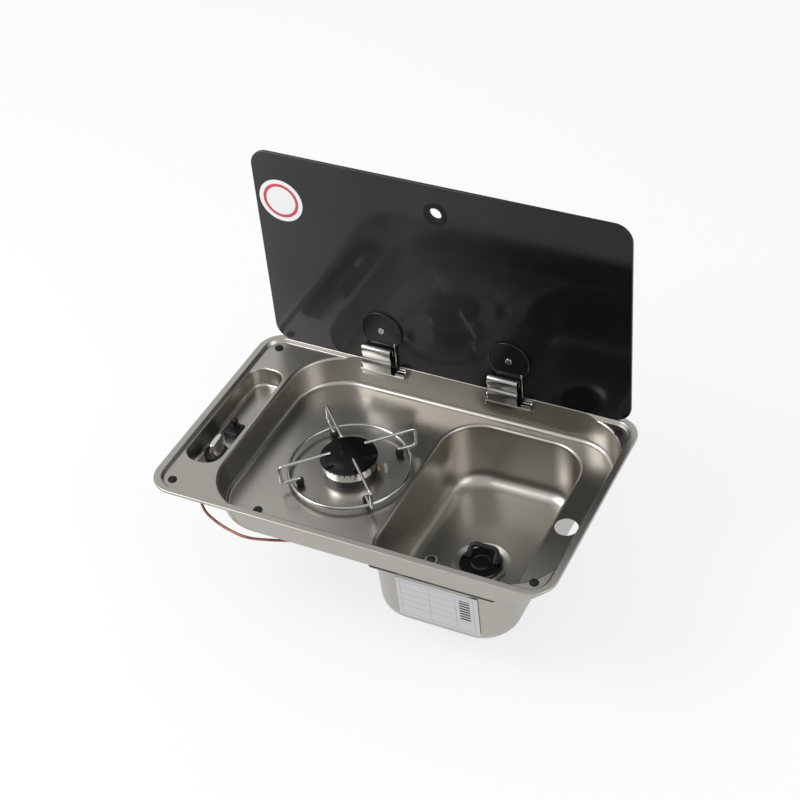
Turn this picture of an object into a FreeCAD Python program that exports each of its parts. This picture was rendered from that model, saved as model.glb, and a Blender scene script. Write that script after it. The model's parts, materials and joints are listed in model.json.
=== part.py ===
import FreeCAD
import Part
import math
import os

# Hob and sink combination: a drop-in stainless unit with one gas burner, a sink bowl and a glass lid.
# Frame: +X right, +Y to the rear, +Z up. Origin: centre of the rim, on the worktop that carries it.

# Sheet and rim
SHEET = 1.0
RIM_LENGTH = 600.0
RIM_DEPTH = 365.0
RIM_CORNER = 39.0
RIM_HEIGHT = 3.5
RIM_EDGE_ROUND = 1.4
FLANGE_WIDTH = 10.3
RECESS_DROP = 5.5
RECESS_SLANT = 3.7
RECESS_CORNER = 28.0
STEP_TOP_ROUND = 1.8
STEP_FOOT_ROUND = 1.5

# Hob pan
PAN_LEFT_INSET = 78.5
PAN_RIGHT_INSET = 1.5
PAN_EDGE_INSET = 0.3
PAN_DEPTH = 50.3
PAN_DRAFT = 5.2
PAN_CORNER = 78.0
PAN_MOUTH_ROUND = 4.0
PAN_FLOOR_ROUND = 7.0

# Sink bowl
BOWL_RIGHT_INSET = 68.6
BOWL_FRONT_INSET = 18.4
BOWL_REAR_INSET = 33.6
BOWL_LENGTH_SHARE = 0.3505
BOWL_DEPTH = 103.5
BOWL_DRAFT = 4.8
BOWL_CORNER = 57.0
BOWL_MOUTH_ROUND = 5.0
BOWL_FLOOR_ROUND = 24.6

# Control well
WELL_LEFT_INSET = 15.5
WELL_WIDTH = 53.8
WELL_FRONT_INSET = 75.5
WELL_REAR_INSET = 77.9
WELL_DEPTH = 30.0
WELL_DRAFT = 2.0
WELL_CORNER = 22.0
WELL_MOUTH_ROUND = 3.0
WELL_FLOOR_ROUND = 5.0

# Tap hole
TAP_INSET = 45.9
TAP_Y = -3.2
TAP_HOLE_R = 16.5

# Lid buffers: six, four on the corner shelves and two on pressed lugs at the front wall
BUFFER_SIDE_INSET = 29.5
BUFFER_END_INSET = 28.8
BUFFER_FRONT_X = 129.4
BUFFER_FRONT_INSET = 18.4
BUFFER_R = 6.5
BUFFER_HEIGHT = 2.7
BUFFER_EDGE = 1.0
BUFFER_DOME_SHARES = ((0.6, 0.3), (0.88, 1.0), (1.0, 2.0))
BUFFER_BARB_SHARE = 0.8
BUFFER_STEM_R = 2.9
BUFFER_BARB_R = 4.0
BUFFER_BARB_HEIGHT = 3.5
LUG_R = 8.0

# Rim seal
SEAL_WIDTH = 6.8
SEAL_LIP_GAP = 0.4

# Glass lid, standing open
LID_SIDE_INSET = 18.5
LID_DEPTH_SPARE = 34.0
LID_THICK = 5.0
LID_CORNER = 26.0
LID_EDGE_BREAK = 0.7
LID_RIM_GAP = 0.5
LID_FACE_INSET = 0.35
LID_CLOSED_REAR_GAP = 10.85
LID_BUFFER_GAP = 0.3
FINGER_HOLE_DROP = 44.0
GROMMET_R = 17.5
GROMMET_BORE_R = 9.6
GROMMET_WALL = 3.0
GROMMET_LIP = 1.5
STICKER_INSET = 40.9
STICKER_DROP = 77.0
STICKER_R = 33.9
STICKER_THICK = 0.4

# Lid hinges
HINGE_SPREAD = 200.0
HINGE_SCREW_HEIGHT = 62.9
HINGE_PIN_R = 1.5
HINGE_PIN_CLEARANCE = 0.05
KNUCKLE_R = 2.6
KNUCKLE_FRONT = 1.0
NECK_HEIGHT = 8.75
ARM_DISC_R = 31.0
ARM_WIDTH = 40.0
ARM_THICK = 2.2
PAD_R = 29.0
PAD_THICK = 0.8
BACKING_R = 29.0
BACKING_THICK = 2.6
CLAMP_SHANK_R = 3.0
CLAMP_HEAD_R = 5.0
CLAMP_HEAD_HEIGHT = 2.4
CLAMP_SLOT_WIDTH = 1.4
CLAMP_SLOT_DEPTH = 1.0
CLAMP_NUT_FLATS = 10.0
CLAMP_NUT_HEIGHT = 3.5
CLAMP_GLASS_CLEARANCE = 1.0
LEAF_LEFT = 30.0
LEAF_RIGHT = 14.0
LEAF_THICK = 1.2

# Corners of the leaf's centre line and the bend at each. Shares of reach are in front of the arm's face, and
# shares of drop are from the top to the groove or from the groove to the foot.
LEAF_FLANGE = 12.0
LEAF_TOP = 31.0
LEAF_REACH = 11.95
LEAF_GROOVE_HEIGHT = 19.8
LEAF_FOOT = -2.4
LEAF_SHOULDER_SHARE = 0.85
LEAF_EASE_SHARE = 0.66
LEAF_GROOVE_SHARE = 0.7
LEAF_FRONT_SHARE = 0.38
LEAF_SHOULDER_BEND = 4.6
LEAF_EASE_BEND = 5.0
LEAF_GROOVE_BEND = 3.0

# Hinge base on the rear wall
BASE_LEFT = 36.0
BASE_RIGHT = 35.0
BASE_TOP = 0.5
BASE_FOOT = 17.0
BASE_PLATE = 1.0
TONGUE_R = 10.0
TONGUE_DROP = 1.5
TONGUE_EAR_RISE = 3.2
CHEEK_THICK = 1.2
CHEEK_TOP_R = 6.0
HINGE_SIDE_GAP = 0.6
HINGE_NOTCH_DROP = 3.4
BASE_SCREW_SPREAD = 56.0
BASE_SCREW_DROP = 6.0
BASE_SCREW_R = 1.5
BASE_SCREW_CLEARANCE = 0.15
BASE_SCREW_HEAD_R = 2.6
BASE_SCREW_HEAD = 1.6
BASE_NUT_FLATS = 5.5
BASE_NUT_HEIGHT = 2.4

# Burner
BURNER_SHARE = 0.61047
BURNER_Y = -6.7
BURNER_HOLE_R = 25.0
BASE_RING_R = 38.0
BASE_RING_HEIGHT = 10.8
BASE_RING_WALL = 4.5
BASE_RING_WEB = 3.0
BASE_RING_BORE_R = 22.0
FLAME_RING_R = 39.0
FLAME_RING_WALL = 4.5
FLAME_RING_HEIGHT = 14.0
FLAME_RING_ROUND = 1.2
FLAME_PORTS = 30
FLAME_PORT_WIDTH = 1.8
FLAME_PORT_HEIGHT = 3.0
CAP_R = 41.3
CAP_EDGE = 2.2
CAP_CROWN = 4.6
CAP_DOME_SHARES = ((0.35, 0.1), (0.7, 0.42), (0.9, 0.78))
CAP_EDGE_SHARES = ((0.975, 0.85), (1.0, 0.5))
CAP_SKIRT_GAP = 0.6
CAP_SKIRT_WALL = 2.5
CAP_SKIRT_DEPTH = 4.0
CUP_R = 34.0
CUP_FLANGE = 2.5
CUP_BODY_R = 27.0
CUP_DEPTH = 30.0
CUP_WALL = 2.5
MIXER_R = 9.0
MIXER_WALL = 1.8
MIXER_DROP = 14.2
MIXER_REACH = 74.0
BURNER_SCREWS = 3
BURNER_SCREW_PITCH_R = 29.0
BURNER_SCREW_R = 2.0
BURNER_SCREW_LENGTH = 6.5
BURNER_SCREW_HEAD_R = 3.6
BURNER_SCREW_HEAD = 2.2
BURNER_SCREW_CLEARANCE = 0.2

# Injector and its holder, in line with the mixing tube
INJECTOR_GAP = 4.0
INJECTOR_R = 3.0
INJECTOR_LENGTH = 8.0
INJECTOR_BORE_R = 0.5
HOLDER_SIDE = 18.0
HOLDER_LENGTH = 13.0
BRACKET_WIDTH = 14.0
BRACKET_THICK = 2.0
BRACKET_OVERLAP = 20.0

# Thermocouple and spark electrode beside the burner
THERMO_OFFSET = 46.4
THERMO_Y = -6.5
THERMO_R = 2.2
THERMO_TIP_Z = -25.0
ELECTRODE_OFFSET = 47.9
ELECTRODE_Y = 9.0
CERAMIC_R = 3.2
CERAMIC_TOP_Z = -33.0
SPARK_PIN_R = 0.9
SPARK_PIN_LENGTH = 8.0
PROBE_COLLAR = 2.0
PROBE_COLLAR_HEIGHT = 3.0
PROBE_TAIL = 14.0
PROBE_CLEARANCE = 0.2

# Pan support
WIRE_R = 2.0
SUPPORT_RING_R = 87.0
SUPPORT_RING_RISE = 8.8
FINGER_COUNT = 4
FIRST_FINGER_TURN = 45
FINGER_TIP_R = 26.8
FINGER_OUTER_R = 100.5
FINGER_TOP_Z = -4.7
FINGER_BEND = 5.0
FOOT_PITCH_R = 74.1
FOOT_R = 5.0
FOOT_CAP = 2.5

# Gas valve and knob
KNOB_INSET = 25.5
KNOB_Y = -60.0
VALVE_WIDTH = 32.0
VALVE_LENGTH = 34.0
VALVE_HEIGHT = 30.0
VALVE_NECK_R = 6.0
VALVE_NECK_RISE = 3.6
VALVE_HOLE_GAP = 0.2
SPINDLE_R = 3.0
SPINDLE_DEPTH = 19.0
SPINDLE_CLEARANCE = 0.05
PUSH_ROD_R = 2.0
PUSH_ROD_LENGTH = 10.0
SPRING_LENGTH = 6.0
SPRING_GAP = 0.15
ROD_BORE_SPARE = 3.5
PANEL_NUT_FLATS = 16.0
PANEL_NUT_HEIGHT = 2.6
MAGNET_R = 7.0
MAGNET_LENGTH = 22.0
SKIRT_R = 17.5
SKIRT_RISE = 3.6
SKIRT_HEIGHT = 4.0
SKIRT_HOLLOW_R = 12.0
SKIRT_TOP = 1.4
SKIRT_EDGE = 1.2
HUB_R = 8.5
HUB_HEIGHT = 11.5
HUB_EDGE = 1.5
SPINDLE_GRIP = 8.0
LEVER_FRONT = 10.0
LEVER_REAR = 19.0
LEVER_WIDTH = 8.6
LEVER_HEIGHT = 6.4
LEVER_ROUND = 2.4
LEVER_END_SHARE = 0.97
LEVER_HOLE_R = 1.3
LEVER_HOLE_PLACE = 5.7

# Gas inlet pipe, copper burner pipe and their nuts
INLET_OFFSET = 10.5
INLET_DROP = 20.0
INLET_R = 4.0
INLET_WALL = 1.0
INLET_LENGTH = 55.0
INLET_NUT_FLATS = 13.0
PIPE_R = 2.0
PIPE_DROP = 17.0
PIPE_NUT_FLATS = 10.0
PIPE_NUT_LENGTH = 8.0
PIPE_ENTRY = 4.0
LEAD_R = 1.3
BEND_SHARE = 0.45

# Igniter
IGNITER_INSET = 28.0
IGNITER_Y = -8.0
IGNITER_R = 7.5
IGNITER_LENGTH = 42.0
COLLAR_SIDE = 25.0
COLLAR_SHIFT = 3.5
COLLAR_CORNER = 4.0
COLLAR_HEIGHT = 12.0
COLLAR_EDGE = 2.0
BOSS_R = 7.0
BOSS_HEIGHT = 2.5
BUTTON_STEM_R = 3.0
BUTTON_CLEARANCE = 0.08
BUTTON_BALL_R = 5.4
BUTTON_NECK = 2.7
BUTTON_STEM_LENGTH = 24.0
BUTTON_SPRING_LENGTH = 8.0

# Waste and plug
DRAIN_SHARE = 0.5107
DRAIN_Y = -18.4
DISH_R = 42.2
DISH_FLOOR_R = 35.5
DISH_DEPTH = 3.0
DRAIN_HOLE_R = 24.0
FLANGE_R = 32.9
FLANGE_LIP = 1.0
FLANGE_LIP_HEIGHT = 2.4
FLANGE_PLATE = 1.0
THROAT_R = 22.0
THROAT_WALL = 1.5
THROAT_DEPTH = 16.0
WASTE_SEAL_R = 33.0
WASTE_SEAL_THICK = 2.5
BACKNUT_FLATS = 62.0
BACKNUT_HEIGHT = 7.0
WASTE_BODY_R = 27.0
WASTE_BODY_HEIGHT = 16.0
WASTE_WALL = 2.5
TAIL_R = 12.5
TAIL_LENGTH = 24.0
TAIL_WALL = 2.0
PLUG_GAP = 0.8
PLUG_THICK = 5.0
PLUG_EDGE = 1.5
PLUG_BOSS_R = 15.0
PLUG_BOSS_HEIGHT = 1.0
PLUG_BOSS_EDGE_SHARE = 0.8
PLUG_SPIGOT_GAP = 0.5
PLUG_SPIGOT_DEPTH = 6.0
PLUG_EAR_SPREAD = 44.0
PLUG_EAR_WIDTH = 4.0
PLUG_EAR_R = 3.4
PLUG_EAR_Y = 3.0
BAIL_PIN_R = 1.2
BAIL_PIN_CLEARANCE = 0.08
BAIL_SIDE_GAP = 0.4
BAIL_HEIGHT = 19.0
BAIL_BAR = 6.5
BAIL_LEG = 4.5
BAIL_THICK = 4.0
BAIL_CORNER = 8.0
BAIL_FOOT_R = 2.6

# Data label on the front of the bowl
LABEL_INSET = 51.9
LABEL_LENGTH = 119.5
LABEL_TOP_DROP = 7.6
LABEL_HEIGHT = 74.6
LABEL_THICK = 0.5

# Cuts run past the faces that they open
OVERRUN = 2.0

# Heights and edges that follow from the sizes above
PAN_LEFT_X = PAN_LEFT_INSET - RIM_LENGTH / 2
BOWL_RIGHT_X = RIM_LENGTH / 2 - BOWL_RIGHT_INSET
BOWL_LEFT_X = BOWL_RIGHT_X - BOWL_LENGTH_SHARE * RIM_LENGTH
BOWL_FRONT_Y = BOWL_FRONT_INSET - RIM_DEPTH / 2
BOWL_REAR_Y = RIM_DEPTH / 2 - BOWL_REAR_INSET
WELL_LEFT_X = WELL_LEFT_INSET - RIM_LENGTH / 2
WELL_RIGHT_X = WELL_LEFT_X + WELL_WIDTH
WELL_FRONT_Y = WELL_FRONT_INSET - RIM_DEPTH / 2
WELL_REAR_Y = RIM_DEPTH / 2 - WELL_REAR_INSET
TAP_X = RIM_LENGTH / 2 - TAP_INSET
BUFFER_CORNER_X = RIM_LENGTH / 2 - BUFFER_SIDE_INSET
BUFFER_CORNER_Y = RIM_DEPTH / 2 - BUFFER_END_INSET
BUFFER_FRONT_Y = BUFFER_FRONT_INSET - RIM_DEPTH / 2
LID_LENGTH = RIM_LENGTH - 2 * LID_SIDE_INSET
LID_DEPTH = RIM_DEPTH - LID_DEPTH_SPARE
FINGER_HOLE_HEIGHT = LID_DEPTH - FINGER_HOLE_DROP
STICKER_X = STICKER_INSET - LID_LENGTH / 2
STICKER_HEIGHT = LID_DEPTH - STICKER_DROP
BURNER_X = PAN_LEFT_X + BURNER_SHARE * (BOWL_LEFT_X - PAN_LEFT_X)
THERMO_X = BURNER_X + THERMO_OFFSET
ELECTRODE_X = BURNER_X + ELECTRODE_OFFSET
KNOB_X = WELL_LEFT_X + KNOB_INSET
IGNITER_X = WELL_LEFT_X + IGNITER_INSET
DRAIN_X = BOWL_LEFT_X + DRAIN_SHARE * (BOWL_RIGHT_X - BOWL_LEFT_X)
LABEL_LEFT_X = BOWL_LEFT_X + LABEL_INSET
RECESS_Z = RIM_HEIGHT - RECESS_DROP
SHELF_UNDER_Z = RECESS_Z - SHEET
STEP_X = RIM_LENGTH / 2 - FLANGE_WIDTH
STEP_Y = RIM_DEPTH / 2 - FLANGE_WIDTH
PAN_Y = STEP_Y - PAN_EDGE_INSET
PAN_RIGHT_X = STEP_X - PAN_RIGHT_INSET
PAN_FLOOR_Z = RIM_HEIGHT - PAN_DEPTH
PAN_UNDER_Z = PAN_FLOOR_Z - SHEET
PAN_SLOPE = PAN_DRAFT / PAN_DEPTH
BOWL_FLOOR_Z = PAN_FLOOR_Z - BOWL_DEPTH
WELL_FLOOR_Z = RECESS_Z - WELL_DEPTH
WELL_UNDER_Z = WELL_FLOOR_Z - SHEET
LID_FOOT_Z = RIM_HEIGHT + LID_RIM_GAP
LID_FACE_Y = STEP_Y - LID_FACE_INSET
LID_BACK_Y = LID_FACE_Y + LID_THICK
LID_CLOSED_REAR_Y = STEP_Y - LID_CLOSED_REAR_GAP
LID_CLOSED_Z = RECESS_Z + BUFFER_HEIGHT + LID_BUFFER_GAP
HINGE_Z = (LID_CLOSED_REAR_Y + LID_CLOSED_Z + LID_FOOT_Z - LID_FACE_Y) / 2
HINGE_Y = LID_CLOSED_REAR_Y + LID_FOOT_Z - HINGE_Z
HINGE_XS = (-HINGE_SPREAD / 2, HINGE_SPREAD / 2)
CLAMP_Z = LID_FOOT_Z + HINGE_SCREW_HEIGHT
ARM_BACK_Y = LID_FACE_Y - PAD_THICK
ARM_FACE_Y = ARM_BACK_Y - ARM_THICK
BASE_RING_TOP = PAN_FLOOR_Z + BASE_RING_HEIGHT
CAP_SEAT_Z = BASE_RING_TOP + FLAME_RING_HEIGHT
MIXER_Z = PAN_UNDER_Z - MIXER_DROP
MIXER_END_Y = BURNER_Y - MIXER_REACH
INJECTOR_TIP_Y = MIXER_END_Y - INJECTOR_GAP
HOLDER_FACE_Y = INJECTOR_TIP_Y - INJECTOR_LENGTH
HOLDER_REAR_Y = HOLDER_FACE_Y - HOLDER_LENGTH
FINGER_FOOT_Z = PAN_FLOOR_Z + SUPPORT_RING_RISE + 2 * WIRE_R
VALVE_BOTTOM_Z = WELL_UNDER_Z - VALVE_HEIGHT
VALVE_FRONT_Y = KNOB_Y - VALVE_LENGTH / 2
VALVE_REAR_Y = KNOB_Y + VALVE_LENGTH / 2
INLET_X = KNOB_X - INLET_OFFSET
INLET_Z = WELL_UNDER_Z - INLET_DROP
PIPE_Z = WELL_UNDER_Z - PIPE_DROP
NECK_TOP_Z = WELL_FLOOR_Z + VALVE_NECK_RISE
SPINDLE_FOOT_Z = NECK_TOP_Z - SPINDLE_DEPTH
ROD_FOOT_Z = SPINDLE_FOOT_Z - PUSH_ROD_LENGTH
SPRING_FOOT_Z = SPINDLE_FOOT_Z - SPRING_LENGTH
SKIRT_FOOT_Z = WELL_FLOOR_Z + SKIRT_RISE
SKIRT_TOP_Z = SKIRT_FOOT_Z + SKIRT_HEIGHT
HUB_TOP_Z = SKIRT_TOP_Z + HUB_HEIGHT
COLLAR_TOP_Z = WELL_FLOOR_Z + COLLAR_HEIGHT
BOSS_TOP_Z = COLLAR_TOP_Z + BOSS_HEIGHT
IGNITER_FOOT_Z = WELL_UNDER_Z - IGNITER_LENGTH
BUTTON_FOOT_Z = BOSS_TOP_Z - BUTTON_STEM_LENGTH
DISH_FLOOR_Z = BOWL_FLOOR_Z - DISH_DEPTH
DISH_UNDER_Z = DISH_FLOOR_Z - SHEET
PLUG_FOOT_Z = DISH_FLOOR_Z + FLANGE_PLATE
PLUG_TOP_Z = PLUG_FOOT_Z + PLUG_THICK
PLUG_R = FLANGE_R - FLANGE_LIP - PLUG_GAP
BAIL_Y = DRAIN_Y + PLUG_EAR_Y
BAIL_Z = PLUG_TOP_Z + PLUG_EAR_R
WASTE_SEAL_Z = DISH_UNDER_Z - WASTE_SEAL_THICK
BACKNUT_Z = WASTE_SEAL_Z - BACKNUT_HEIGHT
WASTE_BODY_Z = BACKNUT_Z - WASTE_BODY_HEIGHT
PROBE_FOOT_Z = PAN_UNDER_Z - PROBE_TAIL
THERMO_NUT_Z = VALVE_BOTTOM_Z - MAGNET_LENGTH - PIPE_NUT_LENGTH

# Ways of the tubes that the unit holds at both ends, chosen by hand: the share of the run along X, then Y and Z
BURNER_PIPE_WAY = (
    (0.1293, -147.0, -55.0),
    (0.3341, -163.0, -57.0),
    (0.5657, -171.0, -58.0),
    (0.7597, -161.0, -59.0),
    (0.9429, -147.0, -61.0),
)
THERMO_LEAD_WAY = (
    (0.0991, -54.0, -130.0),
    (0.2629, -46.0, -128.0),
    (0.4440, -36.0, -116.0),
    (0.6336, -26.0, -106.0),
    (0.8147, -16.0, -103.0),
    (0.9440, -9.5, -98.0),
)
IGNITION_LEAD_WAY = (
    (0.0844, -2.0, -111.0),
    (0.2446, 6.0, -112.0),
    (0.4351, 11.0, -104.0),
    (0.6255, 14.0, -97.0),
    (0.8074, 14.0, -95.0),
    (0.9459, 11.0, -92.0),
)
PIPE_TURN_Y = -116.0
PIPE_RISE_Y = -126.0
THERMO_DROP_Z = -116.0
THERMO_RISE_Z = -84.0
IGNITION_DROP_Z = -97.0
IGNITION_RISE_Z = -80.0


def way_points(way, start_x, end_x):
    """Route points whose X is a share of the run between two ends."""
    return [(start_x + share * (end_x - start_x), y, z) for share, y, z in way]


BURNER_PIPE_ROUTE = [
    (KNOB_X, VALVE_FRONT_Y - PIPE_NUT_LENGTH + PIPE_ENTRY, PIPE_Z),
    (KNOB_X, PIPE_TURN_Y, PIPE_Z),
    *way_points(BURNER_PIPE_WAY, KNOB_X, BURNER_X),
    (BURNER_X, PIPE_RISE_Y, MIXER_Z),
    (BURNER_X, HOLDER_REAR_Y - PIPE_NUT_LENGTH + PIPE_ENTRY, MIXER_Z),
]
THERMO_LEAD_ROUTE = [
    (KNOB_X, KNOB_Y, THERMO_NUT_Z),
    (KNOB_X, KNOB_Y, THERMO_DROP_Z),
    *way_points(THERMO_LEAD_WAY, KNOB_X, THERMO_X),
    (THERMO_X, THERMO_Y, THERMO_RISE_Z),
    (THERMO_X, THERMO_Y, PROBE_FOOT_Z),
]
IGNITION_LEAD_ROUTE = [
    (IGNITER_X, IGNITER_Y, IGNITER_FOOT_Z),
    (IGNITER_X, IGNITER_Y, IGNITION_DROP_Z),
    *way_points(IGNITION_LEAD_WAY, IGNITER_X, ELECTRODE_X),
    (ELECTRODE_X, ELECTRODE_Y, IGNITION_RISE_Z),
    (ELECTRODE_X, ELECTRODE_Y, PROBE_FOOT_Z),
]

V = FreeCAD.Vector
UP = V(0, 0, 1)
RIGHT = V(1, 0, 0)
REAR = V(0, 1, 0)


def block(x0, x1, y0, y1, z0, z1):
    """Box between two corners."""
    return Part.makeBox(x1 - x0, y1 - y0, z1 - z0, V(x0, y0, z0))


def rod(r, start, direction, length):
    """Round rod from a point along a direction."""
    return Part.makeCylinder(r, length, start, direction)


def aimed(shape, point, direction):
    """Moves a shape made on +Z at the origin to a point, with +Z turned to the direction."""
    shape.Placement = FreeCAD.Placement(point, FreeCAD.Rotation(UP, direction))
    return shape


def turned(profile, x, y):
    """Solid of revolution about the upright line at x, y, from a closed outline of (radius, height)."""
    points = [V(x + r, y, z) for r, z in profile]
    face = Part.Face(Part.makePolygon(points + points[:1]))
    return face.revolve(V(x, y, 0), UP, 360)


def tube(r, bore, start, direction, length):
    """Straight round tube."""
    return rod(r, start, direction, length).cut(rod(bore, start, direction, length))


def hexagon(flats, height, point, direction, bore=0):
    """Hexagon nut, with its across-flats size."""
    corner = flats / 2 / math.cos(math.pi / 6)
    points = [V(corner * math.cos(k * math.pi / 3), corner * math.sin(k * math.pi / 3), 0) for k in range(6)]
    nut = Part.Face(Part.makePolygon(points + points[:1])).extrude(V(0, 0, height))
    if bore:
        nut = nut.cut(rod(bore, V(0, 0, 0), UP, height))
    return aimed(nut, point, direction)


def outline(box, r, z, grow=0):
    """Rounded rectangle at a height. box is (x0, x1, y0, y1)."""
    x0, x1, y0, y1 = box[0] - grow, box[1] + grow, box[2] - grow, box[3] + grow
    r = r + grow
    corners = ((x1 - r, y0 + r, -90), (x1 - r, y1 - r, 0), (x0 + r, y1 - r, 90), (x0 + r, y0 + r, 180))
    arcs = [Part.Arc(Part.Circle(V(cx, cy, z), UP, r), math.radians(a), math.radians(a + 90))
            for cx, cy, a in corners]
    edges = []
    for k, arc in enumerate(arcs):
        edges.append(arc.toShape())
        edges.append(Part.makeLine(arc.EndPoint, arcs[(k + 1) % 4].StartPoint))
    return Part.Wire(edges)


def slab(box, r, z0, z1, grow=0):
    """Upright prism on a rounded rectangle."""
    return Part.Face(outline(box, r, z0, grow)).extrude(V(0, 0, z1 - z0))


def level_edges(shape, z, box, margin):
    """Edges that lie at a height, no further out than a box and a margin."""
    found = []
    for edge in shape.Edges:
        b = edge.BoundBox
        level = abs(b.ZMin - z) + abs(b.ZMax - z) < margin / 100
        inside = b.XMin > box[0] - margin and b.XMax < box[1] + margin
        inside = inside and b.YMin > box[2] - margin and b.YMax < box[3] + margin
        if level and inside:
            found.append(edge)
    return found


def taper_prism(start, end, draft, z_top, z_low, direction, reach):
    """Prism whose section narrows towards its foot by the draft at both sides, run along a level direction."""
    across = UP.cross(direction)
    corners = [across * start + UP * z_top, across * end + UP * z_top,
               across * (end - draft) + UP * z_low, across * (start + draft) + UP * z_low]
    section = Part.Face(Part.makePolygon(corners + corners[:1]))
    section.translate(direction * reach[0])
    return section.extrude(direction * (reach[1] - reach[0]))


def tub(box, corner, z_top, z_floor, draft, floor_round, grow=0):
    """Tapered tub with a rounded foot: the hollow of a pressing, or with grow its outside. Two crossed prisms
    make its flat walls and four quarter cones its corners."""
    x0, x1, y0, y1 = box[0] + corner, box[1] - corner, box[2] + corner, box[3] - corner
    r = corner + grow
    z_low = z_floor - grow
    body = taper_prism(-x1 - r, r - x0, draft, z_top, z_low, REAR, (y0, y1))
    pieces = [taper_prism(y0 - r, y1 + r, draft, z_top, z_low, RIGHT, (x0, x1))]
    corners = ((x1, y1, 0), (x0, y1, 90), (x0, y0, 180), (x1, y0, 270))
    for x, y, turn in corners:
        piece = Part.makeCone(r - draft, r, z_top - z_low, V(0, 0, 0), UP, 90)
        piece.Placement = FreeCAD.Placement(V(x, y, z_low), FreeCAD.Rotation(UP, turn))
        pieces.append(piece)
    body = body.fuse(pieces).removeSplitter()
    edges = [e for e in body.Edges if abs(e.BoundBox.ZMax - z_low) < SHEET / 10]
    return body.makeFillet(floor_round + grow, edges)


def mouth(box, corner, z, body, mouth_round, limit, grow=0):
    """Adds the rolled edge where a tub leaves a sheet at height z, kept inside the limit solid."""
    level = z - grow
    pool = slab(box, corner, level, level + SHEET, grow + 3 * mouth_round)
    joined = pool.fuse(body).removeSplitter()
    edges = level_edges(joined, level, box, grow + SHEET / 2)
    return joined.makeFillet(mouth_round - grow, edges).common(limit)


def wall_y(z):
    """Inner face of the pan's rear wall at a height."""
    return PAN_Y - PAN_SLOPE * (RIM_HEIGHT - z)


def wall_normal():
    """Unit vector from the pan's rear wall into the pan."""
    return V(0, -1, PAN_SLOPE).normalize()


def wall_thickness(z):
    """Distance square through the rear wall at a height: the outside's slope runs one sheet deeper."""
    outside = PAN_Y + SHEET - PAN_DRAFT * (RIM_HEIGHT - z) / (PAN_DEPTH + SHEET)
    return (outside - wall_y(z)) * -wall_normal().y


def hinge_screw_places():
    """Points on the rear wall's inner face where the hinge bases are screwed down."""
    z = HINGE_Z - BASE_SCREW_DROP
    return [V(x + side * BASE_SCREW_SPREAD / 2, wall_y(z), z) for x in HINGE_XS for side in (-1, 1)]


def buffer_places():
    """Centres of the six lid buffers."""
    places = [(sx * BUFFER_CORNER_X, sy * BUFFER_CORNER_Y) for sx in (-1, 1) for sy in (-1, 1)]
    return places + [(sx * BUFFER_FRONT_X, BUFFER_FRONT_Y) for sx in (-1, 1)]


def burner_screw_places():
    """Points on the circle of the burner screws, one of them to the rear."""
    turns = [math.pi / 2 + k * 2 * math.pi / BURNER_SCREWS for k in range(BURNER_SCREWS)]
    return [(BURNER_X + BURNER_SCREW_PITCH_R * math.cos(t), BURNER_Y + BURNER_SCREW_PITCH_R * math.sin(t))
            for t in turns]


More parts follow.
